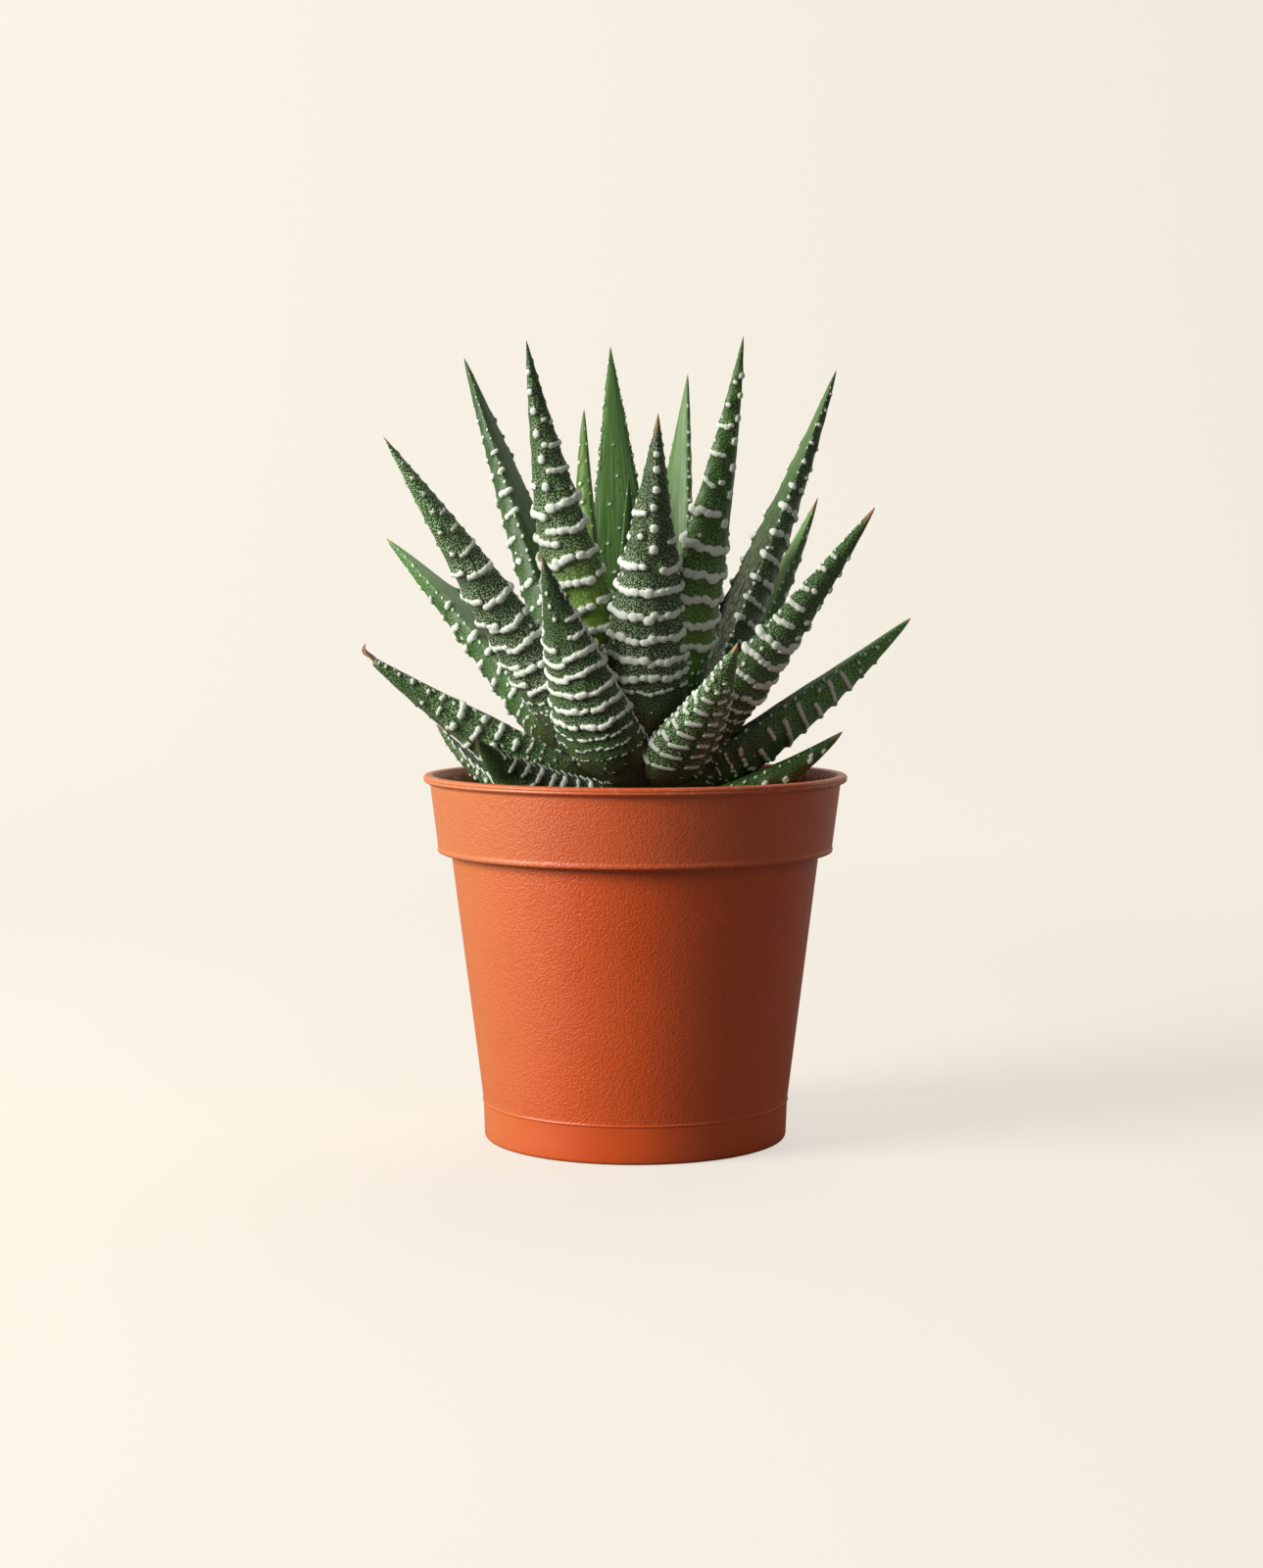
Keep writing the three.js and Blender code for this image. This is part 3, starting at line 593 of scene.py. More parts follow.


# ---------------------------------------------------------------------------------------------
# Leaves: 31 pointed succulent leaves, rounded and keeled outside and nearly flat inside. White
# tubercles stand in separate dots near the tip, join into raised rows across the outer side
# that sag towards the base at the keel, and break up into beads and specks low down.
# ---------------------------------------------------------------------------------------------

# Form: az is the way a leaf points in degrees, reach and rise where its tip is, seat the height
# where it leaves the stem and root how far out, width its greatest width and deep its thickness as
# a share of that. bow is its sag outward, sway its bend sideways, turn its roll in degrees, twist
# how much more it rolls by the tip, and furrow how ridged its inner face is.
# Tubercles: left, right and keel say how far from the tip, in mm, the rows of each side and the
# knobs on the keel are; a leaf without them has its rows laid out by rule. marks are single ones:
# mm from the tip and share of the way from keel to margin, once for a knob and twice for a piece
# of a row; past a share of 1.1 it is a small one on the inner face. style is rows, dots, ovals, or
# bare for none but those given. bold is how thick they are and knob how big on the keel, whole
# the length of a row's pieces, gap the space between them, beady how much they are strings of
# beads, sag how far a row climbs to the margin and spread where it runs between keel and margin.
# tail is how many rows of beads come below, specks how many specks, teeth how close the teeth on
# the margins stand and edging how long they are.
# Looks: frost is how pale the papillae are, lush how fresh the green, yellow_and_backlight how
# yellow the lower part is, partly its younger colour and partly painted light shining through it,
# and fresh the least of that all over. painted_face_light is how much lighter the inner face is
# painted, as painted light on it, down to the share fade of its length, and worn how rough and
# barky. painted_light lightens the leaf as painted light where it is over 1 and darkens it as
# painted shade where it is under 1, down to painted_light_to mm; painted_base_shade is the share of
# the length over which the base is painted darker, as painted shade, old how olive the base is.
# tip and brown_edge are the lengths of dry tip and dry right margin, withered that of the shrunken
# end.
LEAVES = [
    dict(name="01", az=170, reach=31.5, rise=63.5, seat=50.5, width=11, bow=3.0, furrow=0.5,
         style="bare",
         marks=((1.7, 0.2), (3.4, 0.2), (4.6, 0.25), (6.2, 0.2), (7.6, 0.25), (7.1, 0.68),
                (8.5, 0.73), (10.3, 0.43), (10.3, 0.77), (12.1, 0.75), (12.6, 0.3), (14.4, 0.6),
                (9.2, 0.1), (15.5, 0.2), (17.0, 0.7)),
         bold=0.85, frost=0.8, teeth=0.4, edging=1.6, painted_light=1.2),
    dict(name="02", az=128, reach=34.0, rise=62.5, seat=51.0, width=12, bow=2.2, furrow=0.8, tip=4),
    dict(name="03", az=96, reach=37.0, rise=68.0, seat=51.5, width=12.5, bow=2.0, furrow=0.8),
    dict(name="04", az=70, reach=35.5, rise=62.5, seat=51.0, width=12, bow=2.0, furrow=0.9, tip=5),
    dict(name="05", az=42, reach=33.0, rise=65.0, seat=51.5, width=12.5, bow=1.8, furrow=0.8),
    dict(name="06", az=-17, reach=32.5, rise=63.0, seat=51.5, width=12, bow=1.6, deep=0.52,
         style="dots", tip=2, furrow=0.8, lush=0.6, frost=0.35, painted_light=1.2),
    dict(name="07", az=-138, reach=31.2, rise=62.5, seat=51.4, width=15, bow=1.2, deep=0.42,
         turn=17, sway=-2.5, marks=((5.5, 0.78),), left=(10.5, 14.5, 18.5),
         right=(7.5, 9.8, 12.0, 14.3, 16.4, 18.6, 20.8), tip=0.8, furrow=0.8, frost=0.35,
         old=0.4, whole=2.2, beady=0.3, bold=0.76, edging=1.1, teeth=0.2, specks=4, sag=-0.3,
         spread=(0.15, 0.88), tail=1),
    dict(name="08", az=146, reach=34.0, rise=66.0, seat=52.5, width=13, bow=1.6, furrow=0.8),
    dict(name="09", az=-160, reach=43.0, rise=75.0, seat=54.0, width=14, bow=0.6, deep=0.5,
         turn=8,
         marks=((2.9, 0.85), (4.0, 0.9), (6.2, 0.88), (8.4, 0.9), (11.1, 0.87), (11.3, 0.4)),
         left=(11.5, 14.5, 17.5, 21, 24), right=(13.8, 17.0, 20.5, 23.4, 26.3), teeth=0.3,
         tip=2.5, whole=1.2, gap=0.6, beady=0.4, bold=0.86, furrow=0.8, frost=0.6, old=0.5,
         spread=(0.08, 0.92), withered=2.4, edging=0.4, specks=10, painted_light=1.6),
    dict(name="10", az=112, reach=36.0, rise=84.0, seat=54.5, width=13, bow=0.8, furrow=0.8),
    dict(name="11", az=83, reach=35.0, rise=88.0, seat=55.0, width=13, bow=0.8, furrow=0.7),
    dict(name="12", az=60, reach=36.0, rise=82.0, seat=54.5, width=13, bow=0.8, furrow=0.8),
    dict(name="13", az=-8, reach=42.0, rise=80.0, seat=55.0, width=14.5, bow=0.8, deep=0.52,
         marks=((4.5, -0.6), (6.6, -0.8), (8.7, -0.92), (10.2, -0.8), (10.8, -0.5),
                (13.2, -0.9, 13.5, -0.1), (15.4, -0.9, 16.3, -0.35), (17.3, -0.88),
                (18.9, -0.65, 19.3, -0.2), (21.2, -0.88, 22.0, -0.25), (24.0, -0.78, 25.6, -0.1),
                (26.8, -0.82, 26.8, -0.64), (29.4, -0.6, 29.8, -0.15),
                (8.3, 0.03), (11.1, 0.03), (13.7, 0.05), (16.8, 0.03), (19.6, 0.05), (22.9, 0.03),
                (26.0, 0.05), (29.2, 0.03)),
         left=(32.5,), right=(11, 14.5, 18, 21, 24.5, 27.5, 31.0), tip=1, furrow=1.0, worn=0.9,
         whole=1.5, bold=0.66, gap=0.5, spread=(0.35, 0.80), lush=0.4, frost=0.4, painted_light=3.1,
         painted_light_to=42, painted_base_shade=0.50),
    dict(name="14", az=-117, reach=29.5, rise=89.0, seat=55.0, width=14.5, bow=0.4, sway=-0.2,
         keel=(5.5, 7.5, 9.5), left=(12.0, 14.5, 17.0, 19.5, 22.0, 24.6, 27.3),
         right=(10.2, 12.8, 15.7, 18.6, 22.0, 24.6, 27.3), teeth=0.9, tip=2, furrow=0.4,
         frost=0.55, bold=0.86, knob=1.0, old=0.6, edging=1.1),
    dict(name="15", az=-59, reach=28.6, rise=76.6, seat=55.5, width=12.4, bow=0.45, deep=0.40,
         turn=-4, sway=0.9, style="ovals",
         marks=((4.2, -0.87), (4.6, -0.69), (6.4, -0.85), (7.0, -0.7), (8.8, -0.64), (8.7, -0.23),
                (7.0, -0.05)),
         tip=1.8, brown_edge=12, teeth=0.8, furrow=0.4, frost=0.75, old=0.5, bold=0.92, painted_light=1.75,
         specks=10),
    dict(name="16", az=-144, reach=44.5, rise=106.0, seat=56.0, width=11.2, bow=-0.2, turn=-7,
         twist=60, sway=-0.1,
         marks=((4.7, 0.27), (7.3, 0.22), (10.1, 0.27), (13.0, 0.16), (13.8, 0.5, 13.8, 0.7),
                (16.2, -0.05), (16.7, 0.48, 16.6, 0.7), (19.9, -0.05), (20.7, 0.25, 20.2, 0.92),
                (7.9, -0.85), (10.8, -0.85), (14.2, -0.9), (18.1, -0.9)),
         left=(23.2, 27.8, 32.3, 36.3, 39.8, 43.2), right=(24.4, 29.2, 33.5, 37.0, 40.9, 44.4),
         tip=1.5, furrow=0.7, frost=0.95, lush=0.1, teeth=0.4, edging=0.6, bold=1.0, painted_light=2.7,
         painted_light_to=32, specks=10, old=0.5, tail=2),
    dict(name="17", az=31, reach=34.0, rise=99.0, seat=56.0, width=12, bow=1.2, turn=-5, sway=-0.2,
         tip=3, painted_face_light=0.7, furrow=0.3, frost=0.3, lush=0.3, painted_light=1.8, style="dots", bold=0.8),
    dict(name="18", az=-35, reach=42.0, rise=96.0, seat=57.0, width=13.5, bow=0.2, deep=0.48,
         turn=5, keel=(8.4, 11.2, 13.9, 17.0), knob=1.15,
         marks=((9.1, -0.95, 9.1, -0.78), (11.6, -1.0, 11.4, -0.8), (15.4, -1.0, 15.2, -0.8),
                (14.8, -0.6), (18.1, -1.0, 18.1, -0.56), (21.4, -0.95, 21.0, -0.5),
                (19.7, -0.14), (22.4, -0.12), (24.6, -0.1), (27.6, -0.1), (30.9, -0.1)),
         left=(24.8, 28.0, 31.5, 34.5), right=(17.0, 21.2, 24.2, 28.0, 31.3, 34.4), tip=3,
         furrow=0.6, worn=0.4, lush=0.45, frost=0.5, painted_light=1.2, painted_base_shade=0.50),
    dict(name="19", az=158, reach=42.7, rise=92.5, seat=57.0, width=16, bow=-1.0, deep=0.46,
         turn=-3, sway=-0.7, tip=1.2, furrow=0.9, painted_face_light=0.5, frost=0.5, lush=0.7, bold=0.80,
         whole=1.2, gap=0.9, spread=(-0.05, 1.02), painted_light=2.1, painted_light_to=18),
    dict(name="20", az=-84, reach=30.5, rise=109.0, seat=57.5, width=13.8, bow=0.3, turn=2,
         keel=(5.8, 8.0, 10.9, 13.5, 16.6, 19.7), knob=1.38,
         marks=((15.3, -1.0, 14.5, -0.4), (18.8, -0.85), (18.0, -0.42), (15.1, 0.65),
                (18.9, 0.5, 19.0, 0.75)),
         left=(22.6, 26.4, 30.3, 33.9, 36.9, 39.9), right=(23.0, 26.3, 30.0, 33.5, 37.2, 39.8),
         teeth=0.5, tip=3.5, furrow=0.3, frost=0.75, lush=0.15, old=0.6, edging=0.8,
         bold=1.05, sag=-0.4, tail=1, specks=4),
    dict(name="21", az=50, reach=20.0, rise=97.0, seat=58.0, width=12, bow=0.5, furrow=0.6),
    dict(name="22", az=130, reach=24.0, rise=105.0, seat=58.5, width=12.5, bow=0.5, furrow=0.6),
    dict(name="23", az=18, reach=33.0, rise=118.5, seat=59.5, width=13.5, bow=0.7, sway=-0.2,
         turn=-3,
         marks=((4.0, -0.6), (6.8, -0.68), (9.4, -0.85), (12.6, -0.92), (12.9, -0.4),
                (15.9, -0.95), (16.3, -0.45), (18.0, -0.6)),
         left=(20.4, 24.2, 28.4, 32.4, 36.2, 39.7, 43.0),
         right=(5.5, 9.5, 13.0, 17.0, 21.0, 25.0, 29.0, 33.0, 37.0, 40.5, 44.0), tip=1.5,
         painted_face_light=0.42, fade=0.26, furrow=1.0, worn=0.9, lush=0.4, whole=2.0, gap=0.3, bold=0.85),
    dict(name="24", az=-61, reach=31.5, rise=120.0, seat=59.5, width=11.5, bow=0.7, turn=14,
         sway=0.6, keel=(5.6, 8.4, 11.7, 15.0, 18.9, 22.9, 27.2), knob=1.5,
         marks=((6.6, -0.5), (9.9, -0.68), (13.1, -0.95, 12.9, -0.5), (12.7, -0.3),
                (17.1, -1.0, 17.1, -0.42), (20.8, -1.0, 21.8, -0.6), (21.1, -0.3)),
         left=(26.0, 31.0, 35.2, 39.0, 42.8, 46.4), right=(31.5, 35.6, 39.4, 43.0, 46.6),
         tip=0.6, yellow_and_backlight=0.3, furrow=0.4, lush=0.9, frost=0.7, bold=1.12, whole=3.4),
    dict(name="25", az=-120, reach=31.0, rise=119.5, seat=60.0, width=12.5, bow=1.0, turn=3,
         sway=-0.5, keel=(4.5, 7.3, 10.0, 13.3, 17.0, 21.0), knob=1.35,
         marks=((11.4, 0.5), (12.0, 0.85), (15.0, 0.3), (15.3, 0.55, 15.3, 1.0),
                (18.8, 0.28, 19.0, 1.0)),
         left=(21.3, 25.4, 29.5, 33.1, 37.0, 40.5, 44.0),
         right=(23.9, 27.8, 32.1, 35.8, 39.7, 43.5), tip=0.6, yellow_and_backlight=1.0, furrow=0.4, lush=0.45,
         frost=0.95, bold=1.15),
    dict(name="26", az=148, reach=32.0, rise=121.0, seat=60.0, width=14.5, bow=-0.8, turn=9,
         sway=0.4, tip=0.6, furrow=0.8, frost=0.4, painted_face_light=0.14, lush=0.65, bold=0.80, whole=1.2,
         gap=0.9, spread=(-0.05, 1.0), painted_light=0.82),
    dict(name="27", az=100, reach=23.0, rise=123.5, seat=60.5, width=13, tip=0.6, painted_face_light=0.32,
         fade=0.6, furrow=0.3, lush=1.0, spread=(0.0, 0.88), teeth=0.6, bold=0.8, frost=0.5,
         marks=((17.0, 1.6), (20.0, 1.75), (22.3, 1.7), (24.5, 1.75), (27.0, 1.45), (31.0, 1.7),
                (33.5, 1.4), (36.0, 1.75), (29.5, -1.5), (25.5, -1.35), (38.2, 1.55),
                (34.8, 1.25), (40.2, 1.7), (37.0, 1.3), (33.0, -1.6), (36.5, -1.4))),
    dict(name="28", az=76, reach=16.5, rise=104.5, seat=61.0, width=11, bow=0.3, root=3.8, painted_face_light=0.3),
    dict(name="29", az=54, reach=14.0, rise=118.0, seat=61.5, width=11.5, bow=0.2, turn=-7,
         root=3.4, tip=0.6, painted_face_light=0.62, yellow_and_backlight=0.7, fresh=0.35, furrow=0.25, lush=0.7, style="bare",
         bold=0.72, teeth=0.2,
         marks=((9.5, -0.97), (11.5, -0.97), (13.7, -0.95), (16.6, -0.95), (20.3, -0.95),
                (23.6, -0.95), (27.2, -0.95), (30.5, -0.95))),
    dict(name="30", az=150, reach=9.1, rise=112.0, seat=62.0, width=12, bow=0.7, turn=30,
         sway=0.4, root=2.8, tip=0.6, painted_face_light=0.3, yellow_and_backlight=0.8, fresh=0.30, furrow=0.2, lush=0.9,
         style="bare", teeth=0.1, bold=0.8,
         marks=((5.5, 0.4), (8.3, 0.45), (11.6, 0.6), (14.5, 0.7), (17.5, 0.75), (20.5, 0.7),
                (16.0, 0.25), (23.5, 0.7))),
    dict(name="31", az=120, reach=2.0, rise=102.0, seat=63.0, width=6.5, root=1.4, tip=1, painted_face_light=0.1,
         yellow_and_backlight=0.3, fresh=0.12, furrow=0.2, lush=0.7, style="bare", teeth=0.0, bold=0.7, painted_light=0.85),
]
FAR_LEAVES = ("02", "03", "04", "05", "08", "10", "11", "12", "21", "22", "28")
# Space between a leaf's rows of points in mm, and points round its outer and its inner side.
NEAR_GRID = (0.2, 92, 40)
FAR_GRID = (0.27, 70, 34)
LAST_ROW_MM = 0.12
WIDEST = 0.22
# A tubercle's full radius on a leaf of the usual width.
TUBERCLE_MM = 0.565
USUAL_WIDTH_MM = 13.0
LEAF_SEED = 400


def unit(v):
    """Each vector divided by its length."""
    return v / np.linalg.norm(v, axis=-1, keepdims=True)


def leaf_blank(leaf, pitch_mm, columns_out, columns_in):
    """The plain leaf as a grid of points in mm, with where each point lies on it.

    A section is carried along a quadratic curve from the stem to the tip. The outer side of the
    section is a deep blunt half oval and the inner side a shallow one. The leaf is widest at the
    share WIDEST and narrows to its tip as (1 - share) to the power 0.92, a little fuller midway.
    Returns the points, the distance from the tip of each row, the signed distance round from
    the keel of each point, each row's distance round from keel to margin, the share of the curve
    at each row, the section angles, the tip and the start.
    """
    angle = math.radians(leaf["az"])
    out = np.array([math.cos(angle), math.sin(angle), 0.0])
    level = np.array([-math.sin(angle), math.cos(angle), 0.0])
    up = np.array([0.0, 0.0, 1.0])
    start = out * leaf.get("root", 4.5) + up * leaf["seat"]
    tip = out * leaf["reach"] + up * leaf["rise"]
    down = np.cross(level, unit(tip - start))
    middle = (start + tip) / 2 + 2 * leaf.get("bow", 0) * down + 2 * leaf.get("sway", 0) * level

    fine = np.linspace(0, 1, 600)[:, None]
    curve = (1 - fine) ** 2 * start + 2 * fine * (1 - fine) * middle + fine ** 2 * tip
    run = np.concatenate([[0], np.cumsum(np.linalg.norm(np.diff(curve, axis=0), axis=1))])
    length = run[-1]
    rows = int(length / pitch_mm)
    base_run = np.linspace(0, length - LAST_ROW_MM, rows)
    t = np.interp(base_run, run, fine[:, 0])[:, None]
    centre = (1 - t) ** 2 * start + 2 * t * (1 - t) * middle + t ** 2 * tip
    along = unit(2 * (1 - t) * (middle - start) + 2 * t * (tip - middle))
    flat = unit(level - (along @ level)[:, None] * along)
    inward = np.cross(along, flat)
    roll = np.radians(leaf.get("turn", 0) + leaf.get("twist", 0) * t)
    side = flat * np.cos(roll) + inward * np.sin(roll)
    face = np.cross(along, side)

    left = (1 - t) / (1 - WIDEST)
    share = np.where(t < WIDEST, 0.8 + 0.2 * np.sin(math.pi / 2 * t / WIDEST),
                     np.maximum(left, 1e-9) ** 0.92 * (1 + 0.18 * left * (1 - left)))
    thick = leaf.get("deep", 0.46) * leaf["width"]
    outer = thick * 0.82 * share ** 0.8 * (0.75 + 0.25 * np.minimum(t / 0.2, 1))
    inner = thick * 0.18 * share ** 0.6 * np.minimum(0.15 + t * 1.6, 1)
    turn_out = np.linspace(-math.pi, 0, columns_out, endpoint=False)
    turn_in = np.linspace(0, math.pi, columns_in, endpoint=False)
    v = np.concatenate([turn_out, turn_in])[None, :]
    x = leaf["width"] / 2 * share * np.cos(v)
    depth = np.where(v < 0, -outer * np.abs(np.sin(v)) ** 0.9, inner * np.sin(v))
    points = centre[:, None] + x[..., None] * side[:, None] + depth[..., None] * face[:, None]

    steps = np.linalg.norm(np.diff(points, axis=1), axis=2)
    walk = np.concatenate([np.zeros((rows, 1)), np.cumsum(steps, axis=1)], axis=1)
    keel = walk[:, columns_out // 2][:, None]
    margin = walk[:, columns_out][:, None] - keel
    whole = walk[:, -1:] + steps[:, -1:]
    across = walk - keel
    far_side = across > margin + (whole - 2 * margin) / 2
    across = np.where(far_side, across - whole, across)
    return points, length - base_run, across, margin[:, 0], t[:, 0], v[0], tip, start


def row_of_pills(rng, lumps, leaf, from_tip, side, begin, stop, margin_at, sag, size, whole,
                 beads):
    """Adds one half row of tubercles, from near the keel out to the margin.

    The row climbs towards the tip as it nears the margin by sag mm, and wanders a little. It
    falls into pieces about whole mm long, and the leaf's own gap parts their round ends. Each
    piece is a core with round lumps of uneven size along it; beads, 0 to 1, thins the core and
    spreads the lumps apart.
    """
    half = margin_at(from_tip)
    end = stop * half
    phase, bend = rng.uniform(0, 6.28), rng.uniform(0.05, 0.25)

    def spot(where):
        climb = sag * min(abs(where) / half, 1.2) ** 1.5
        return from_tip - climb + bend * math.sin(1.1 * where + phase), side * where

    place = begin * half
    while place < end - 0.1:
        last = min(place + whole * rng.uniform(0.35, 1.5), end)
        if end - last < 0.9:
            last = end
        thick = size * rng.uniform(0.90, 1.10)
        count = max(int(round((last - place) / ((1.36 + 0.40 * beads) * thick))), 1)
        marks = [place + (last - place) * (k + rng.uniform(-0.25, 0.25)) / count
                 for k in range(count + 1)]
        for a, b in zip(marks[:-1], marks[1:]):
            core = (0.79 - 0.26 * beads) * thick * rng.uniform(0.92, 1.06)
            lumps.append((*spot(a), *spot(b), core, 0.68 * core))
        for number, mark in enumerate(marks):
            d, c = spot(mark)
            d += rng.normal(0, 0.10 + 0.03 * beads)
            radius = thick * rng.uniform(0.86, 1.16)
            if number in (0, len(marks) - 1):
                radius *= rng.uniform(1.0, 1.16)
            swell = rng.uniform(0.05, 0.28) * thick
            lumps.append((d, c - swell, d, c + swell, radius, 0.74 * radius))
        if last >= 0.98 * half:
            d, c = spot(half)
            lumps.append((d, c, d, c + 0.1 * side, 1.12 * thick, 1.08 * thick))
        place = last + 1.9 * size + leaf.get("gap", 0) * rng.uniform(0.6, 1.4)
        place += rng.uniform(-0.1, 0.3)


def piece_of_row(rng, lumps, d0, c0, d1, c1, thick):
    """Adds one piece of a row between two spots: a core with round lumps of uneven size on it."""
    lumps.append((d0, c0, d1, c1, 0.88 * thick, 0.64 * thick))
    count = max(int(round(math.hypot(d1 - d0, c1 - c0) / (1.4 * thick))), 1)
    for number in range(count + 1):
        share = number / count
        d = d0 + share * (d1 - d0) + rng.normal(0, 0.06)
        c = c0 + share * (c1 - c0)
        radius = thick * rng.uniform(0.88, 1.14)
        lumps.append((d, c - 0.2 * thick, d, c + 0.2 * thick, radius, 0.76 * radius))


def oval_columns(rng, lumps, length, margin_at, size):
    """Adds five columns of separate ovals that lie across the leaf.

    A column is the shares of the half between which its ovals lie, the distance of its first one
    from the tip and the space from one to the next, in mm.
    """
    columns = ((-0.93, -0.91, 8.5, 2.30), (-0.87, -0.65, 11.3, 2.70), (-0.61, -0.18, 10.6, 2.40),
               (0.0, 0.30, 8.4, 2.15), (0.44, 0.82, 9.6, 2.25))
    for near, far, place, space in columns:
        while place < 0.80 * length:
            half = margin_at(place)
            radius = size * min(0.36 + 0.10 * half, 0.92) * rng.uniform(0.92, 1.08)
            low = near * half + 0.55 * radius
            high = max(far * half - 0.55 * radius, low)
            tilt = rng.normal(0, 0.15)
            lumps.append((place - tilt, low, place + tilt, high, radius, 0.66 * radius))
            place += space * rng.uniform(0.93, 1.07)


def row_places(rng, leaf, length):
    """How far from the tip the rows of the two sides are, as counted or laid out by rule.

    By rule they start at a ninth of the length, 3 mm apart and then up to 3.8, and stop at 0.69.
    """
    if "left" in leaf:
        return {-1: leaf["left"], 1: leaf["right"]}
    rows = {-1: [], 1: []}
    for side in (-1, 1):
        place = length * 0.11 + rng.uniform(0, 1.6)
        while place < length * 0.69:
            rows[side].append(place)
            place += (2.95 + 0.8 * min(place / (0.4 * length), 1)) * rng.uniform(0.9, 1.1)
    return rows


def single_marks(rng, lumps, leaf, margin_at, size_at):
    """Adds the knobs on the keel and the single knobs and pieces that the leaf lists as marks."""
    for dot in leaf.get("keel", ()):
        radius = leaf.get("knob", 1.25) * size_at(dot) * rng.uniform(0.94, 1.06)
        offset = rng.normal(0, 0.05 * margin_at(dot))
        long_way = 0.25 * radius
        lumps.append((dot - long_way, offset, dot + long_way, offset, radius, 0.84 * radius))
    for mark in leaf.get("marks", ()):
        half = margin_at(mark[0])
        if len(mark) == 2:
            radius = 1.15 * size_at(mark[0]) * rng.uniform(0.85, 1.08)
            if abs(mark[1]) > 1.1:
                radius *= 0.55
            lumps.append((mark[0], mark[1] * half - 0.15 * radius, mark[0],
                          mark[1] * half + 0.15 * radius, radius, 0.82 * radius))
        else:
            piece_of_row(rng, lumps, mark[0], mark[1] * half, mark[2], mark[3] * half,
                         size_at(mark[0]) * rng.uniform(0.95, 1.05))


def half_row(rng, lumps, leaf, place, side, share, margin_at, size_at, big):
    """Adds what one row is on one side: dots near the tip, then short rows, then full ones.

    The share of the length from the tip decides. Dots stand up to 0.15, and all along a leaf in
    the style dots. Short rows up to 0.34 start midway to the margin. Full rows start near the
    keel and turn into strings of beads from 0.40 on; about one in three has a small dot above.
    """
    low_reach, high_reach = leaf.get("spread", (-0.12, 1.04))
    whole = leaf.get("whole", 4.6)
    beady = leaf.get("beady", 0)
    if share < 0.15 or leaf.get("style") == "dots":
        for _ in range(1 if share < 0.15 else 2):
            radius = big * rng.uniform(0.60, 0.82) * min(0.45 + 0.12 * margin_at(place), 1)
            where = side * margin_at(place) * rng.uniform(0.20, 0.95)
            d = place + rng.uniform(-0.8, 0.8)
            lumps.append((d - 0.15, where, d + 0.2, where, radius, 0.8 * radius))
    elif share < 0.34:
        row_of_pills(rng, lumps, leaf, place, side, rng.uniform(0.38, 0.62), high_reach,
                     margin_at, 0.3, size_at(place), 0.45 * whole, beady)
    else:
        begin = rng.uniform(0.12, 0.3) if share < 0.4 else rng.uniform(-0.12, 0.10)
        row_of_pills(rng, lumps, leaf, place, side, max(begin, low_reach), high_reach,
                     margin_at, leaf.get("sag", 0.2) + 0.5 * share, big,
                     whole if share < 0.55 else 0.7 * whole,
                     max(min(max(share - 0.40, 0) * 4, 1), beady))
        if rng.random() < 0.35:
            radius = big * rng.uniform(0.4, 0.6)
            spot = side * margin_at(place) * rng.uniform(0.55, 0.95)
            lumps.append((place - 1.9, spot, place - 1.8, spot, radius, 0.8 * radius))


def rows_of_beads(rng, lumps, place, count, margin_at, big):
    """Adds count rows of separate beads from place on, each smaller and sparser than the last.

    Returns where the next row would be.
    """
    shrink = 0.66
    for _ in range(count):
        half = margin_at(place)
        where = -half
        while where < half:
            climb = 0.6 * (abs(where) / half) ** 1.5
            radius = shrink * rng.uniform(0.55, 1.10) * big
            if rng.random() < 0.45 + 0.6 * shrink:
                d, c = place - climb + rng.normal(0, 0.16), where
                lumps.append((d, c, d, c + rng.uniform(0, 0.6) * shrink, radius, 0.6 * radius))
            where += 2.0 * radius + rng.uniform(-0.08, 0.35)
        place += 1.9
        shrink *= 0.78
    return place


def margin_teeth(rng, lumps, leaf, length, margin_at):
    """Adds small teeth, or short white edgings, along both margins."""
    teeth = leaf.get("teeth", 0.35)
    edging = leaf.get("edging", 0.3)
    for side in (-1, 1):
        place = 3.0
        while place < 0.86 * length:
            half = margin_at(place)
            radius = rng.uniform(0.6, 1.0) * (0.20 + 0.14 * teeth) * min(0.45 + 0.1 * half, 1.0)
            where = side * (half + rng.uniform(-0.12, 0.20))
            stop = place + rng.uniform(0, edging)
            lumps.append((place, where, stop, where, radius, 0.85 * radius))
            space = 0.45 if edging > 1 else 1.0 / (0.30 + 0.70 * teeth)
            place = stop + space * rng.uniform(0.7, 1.3)


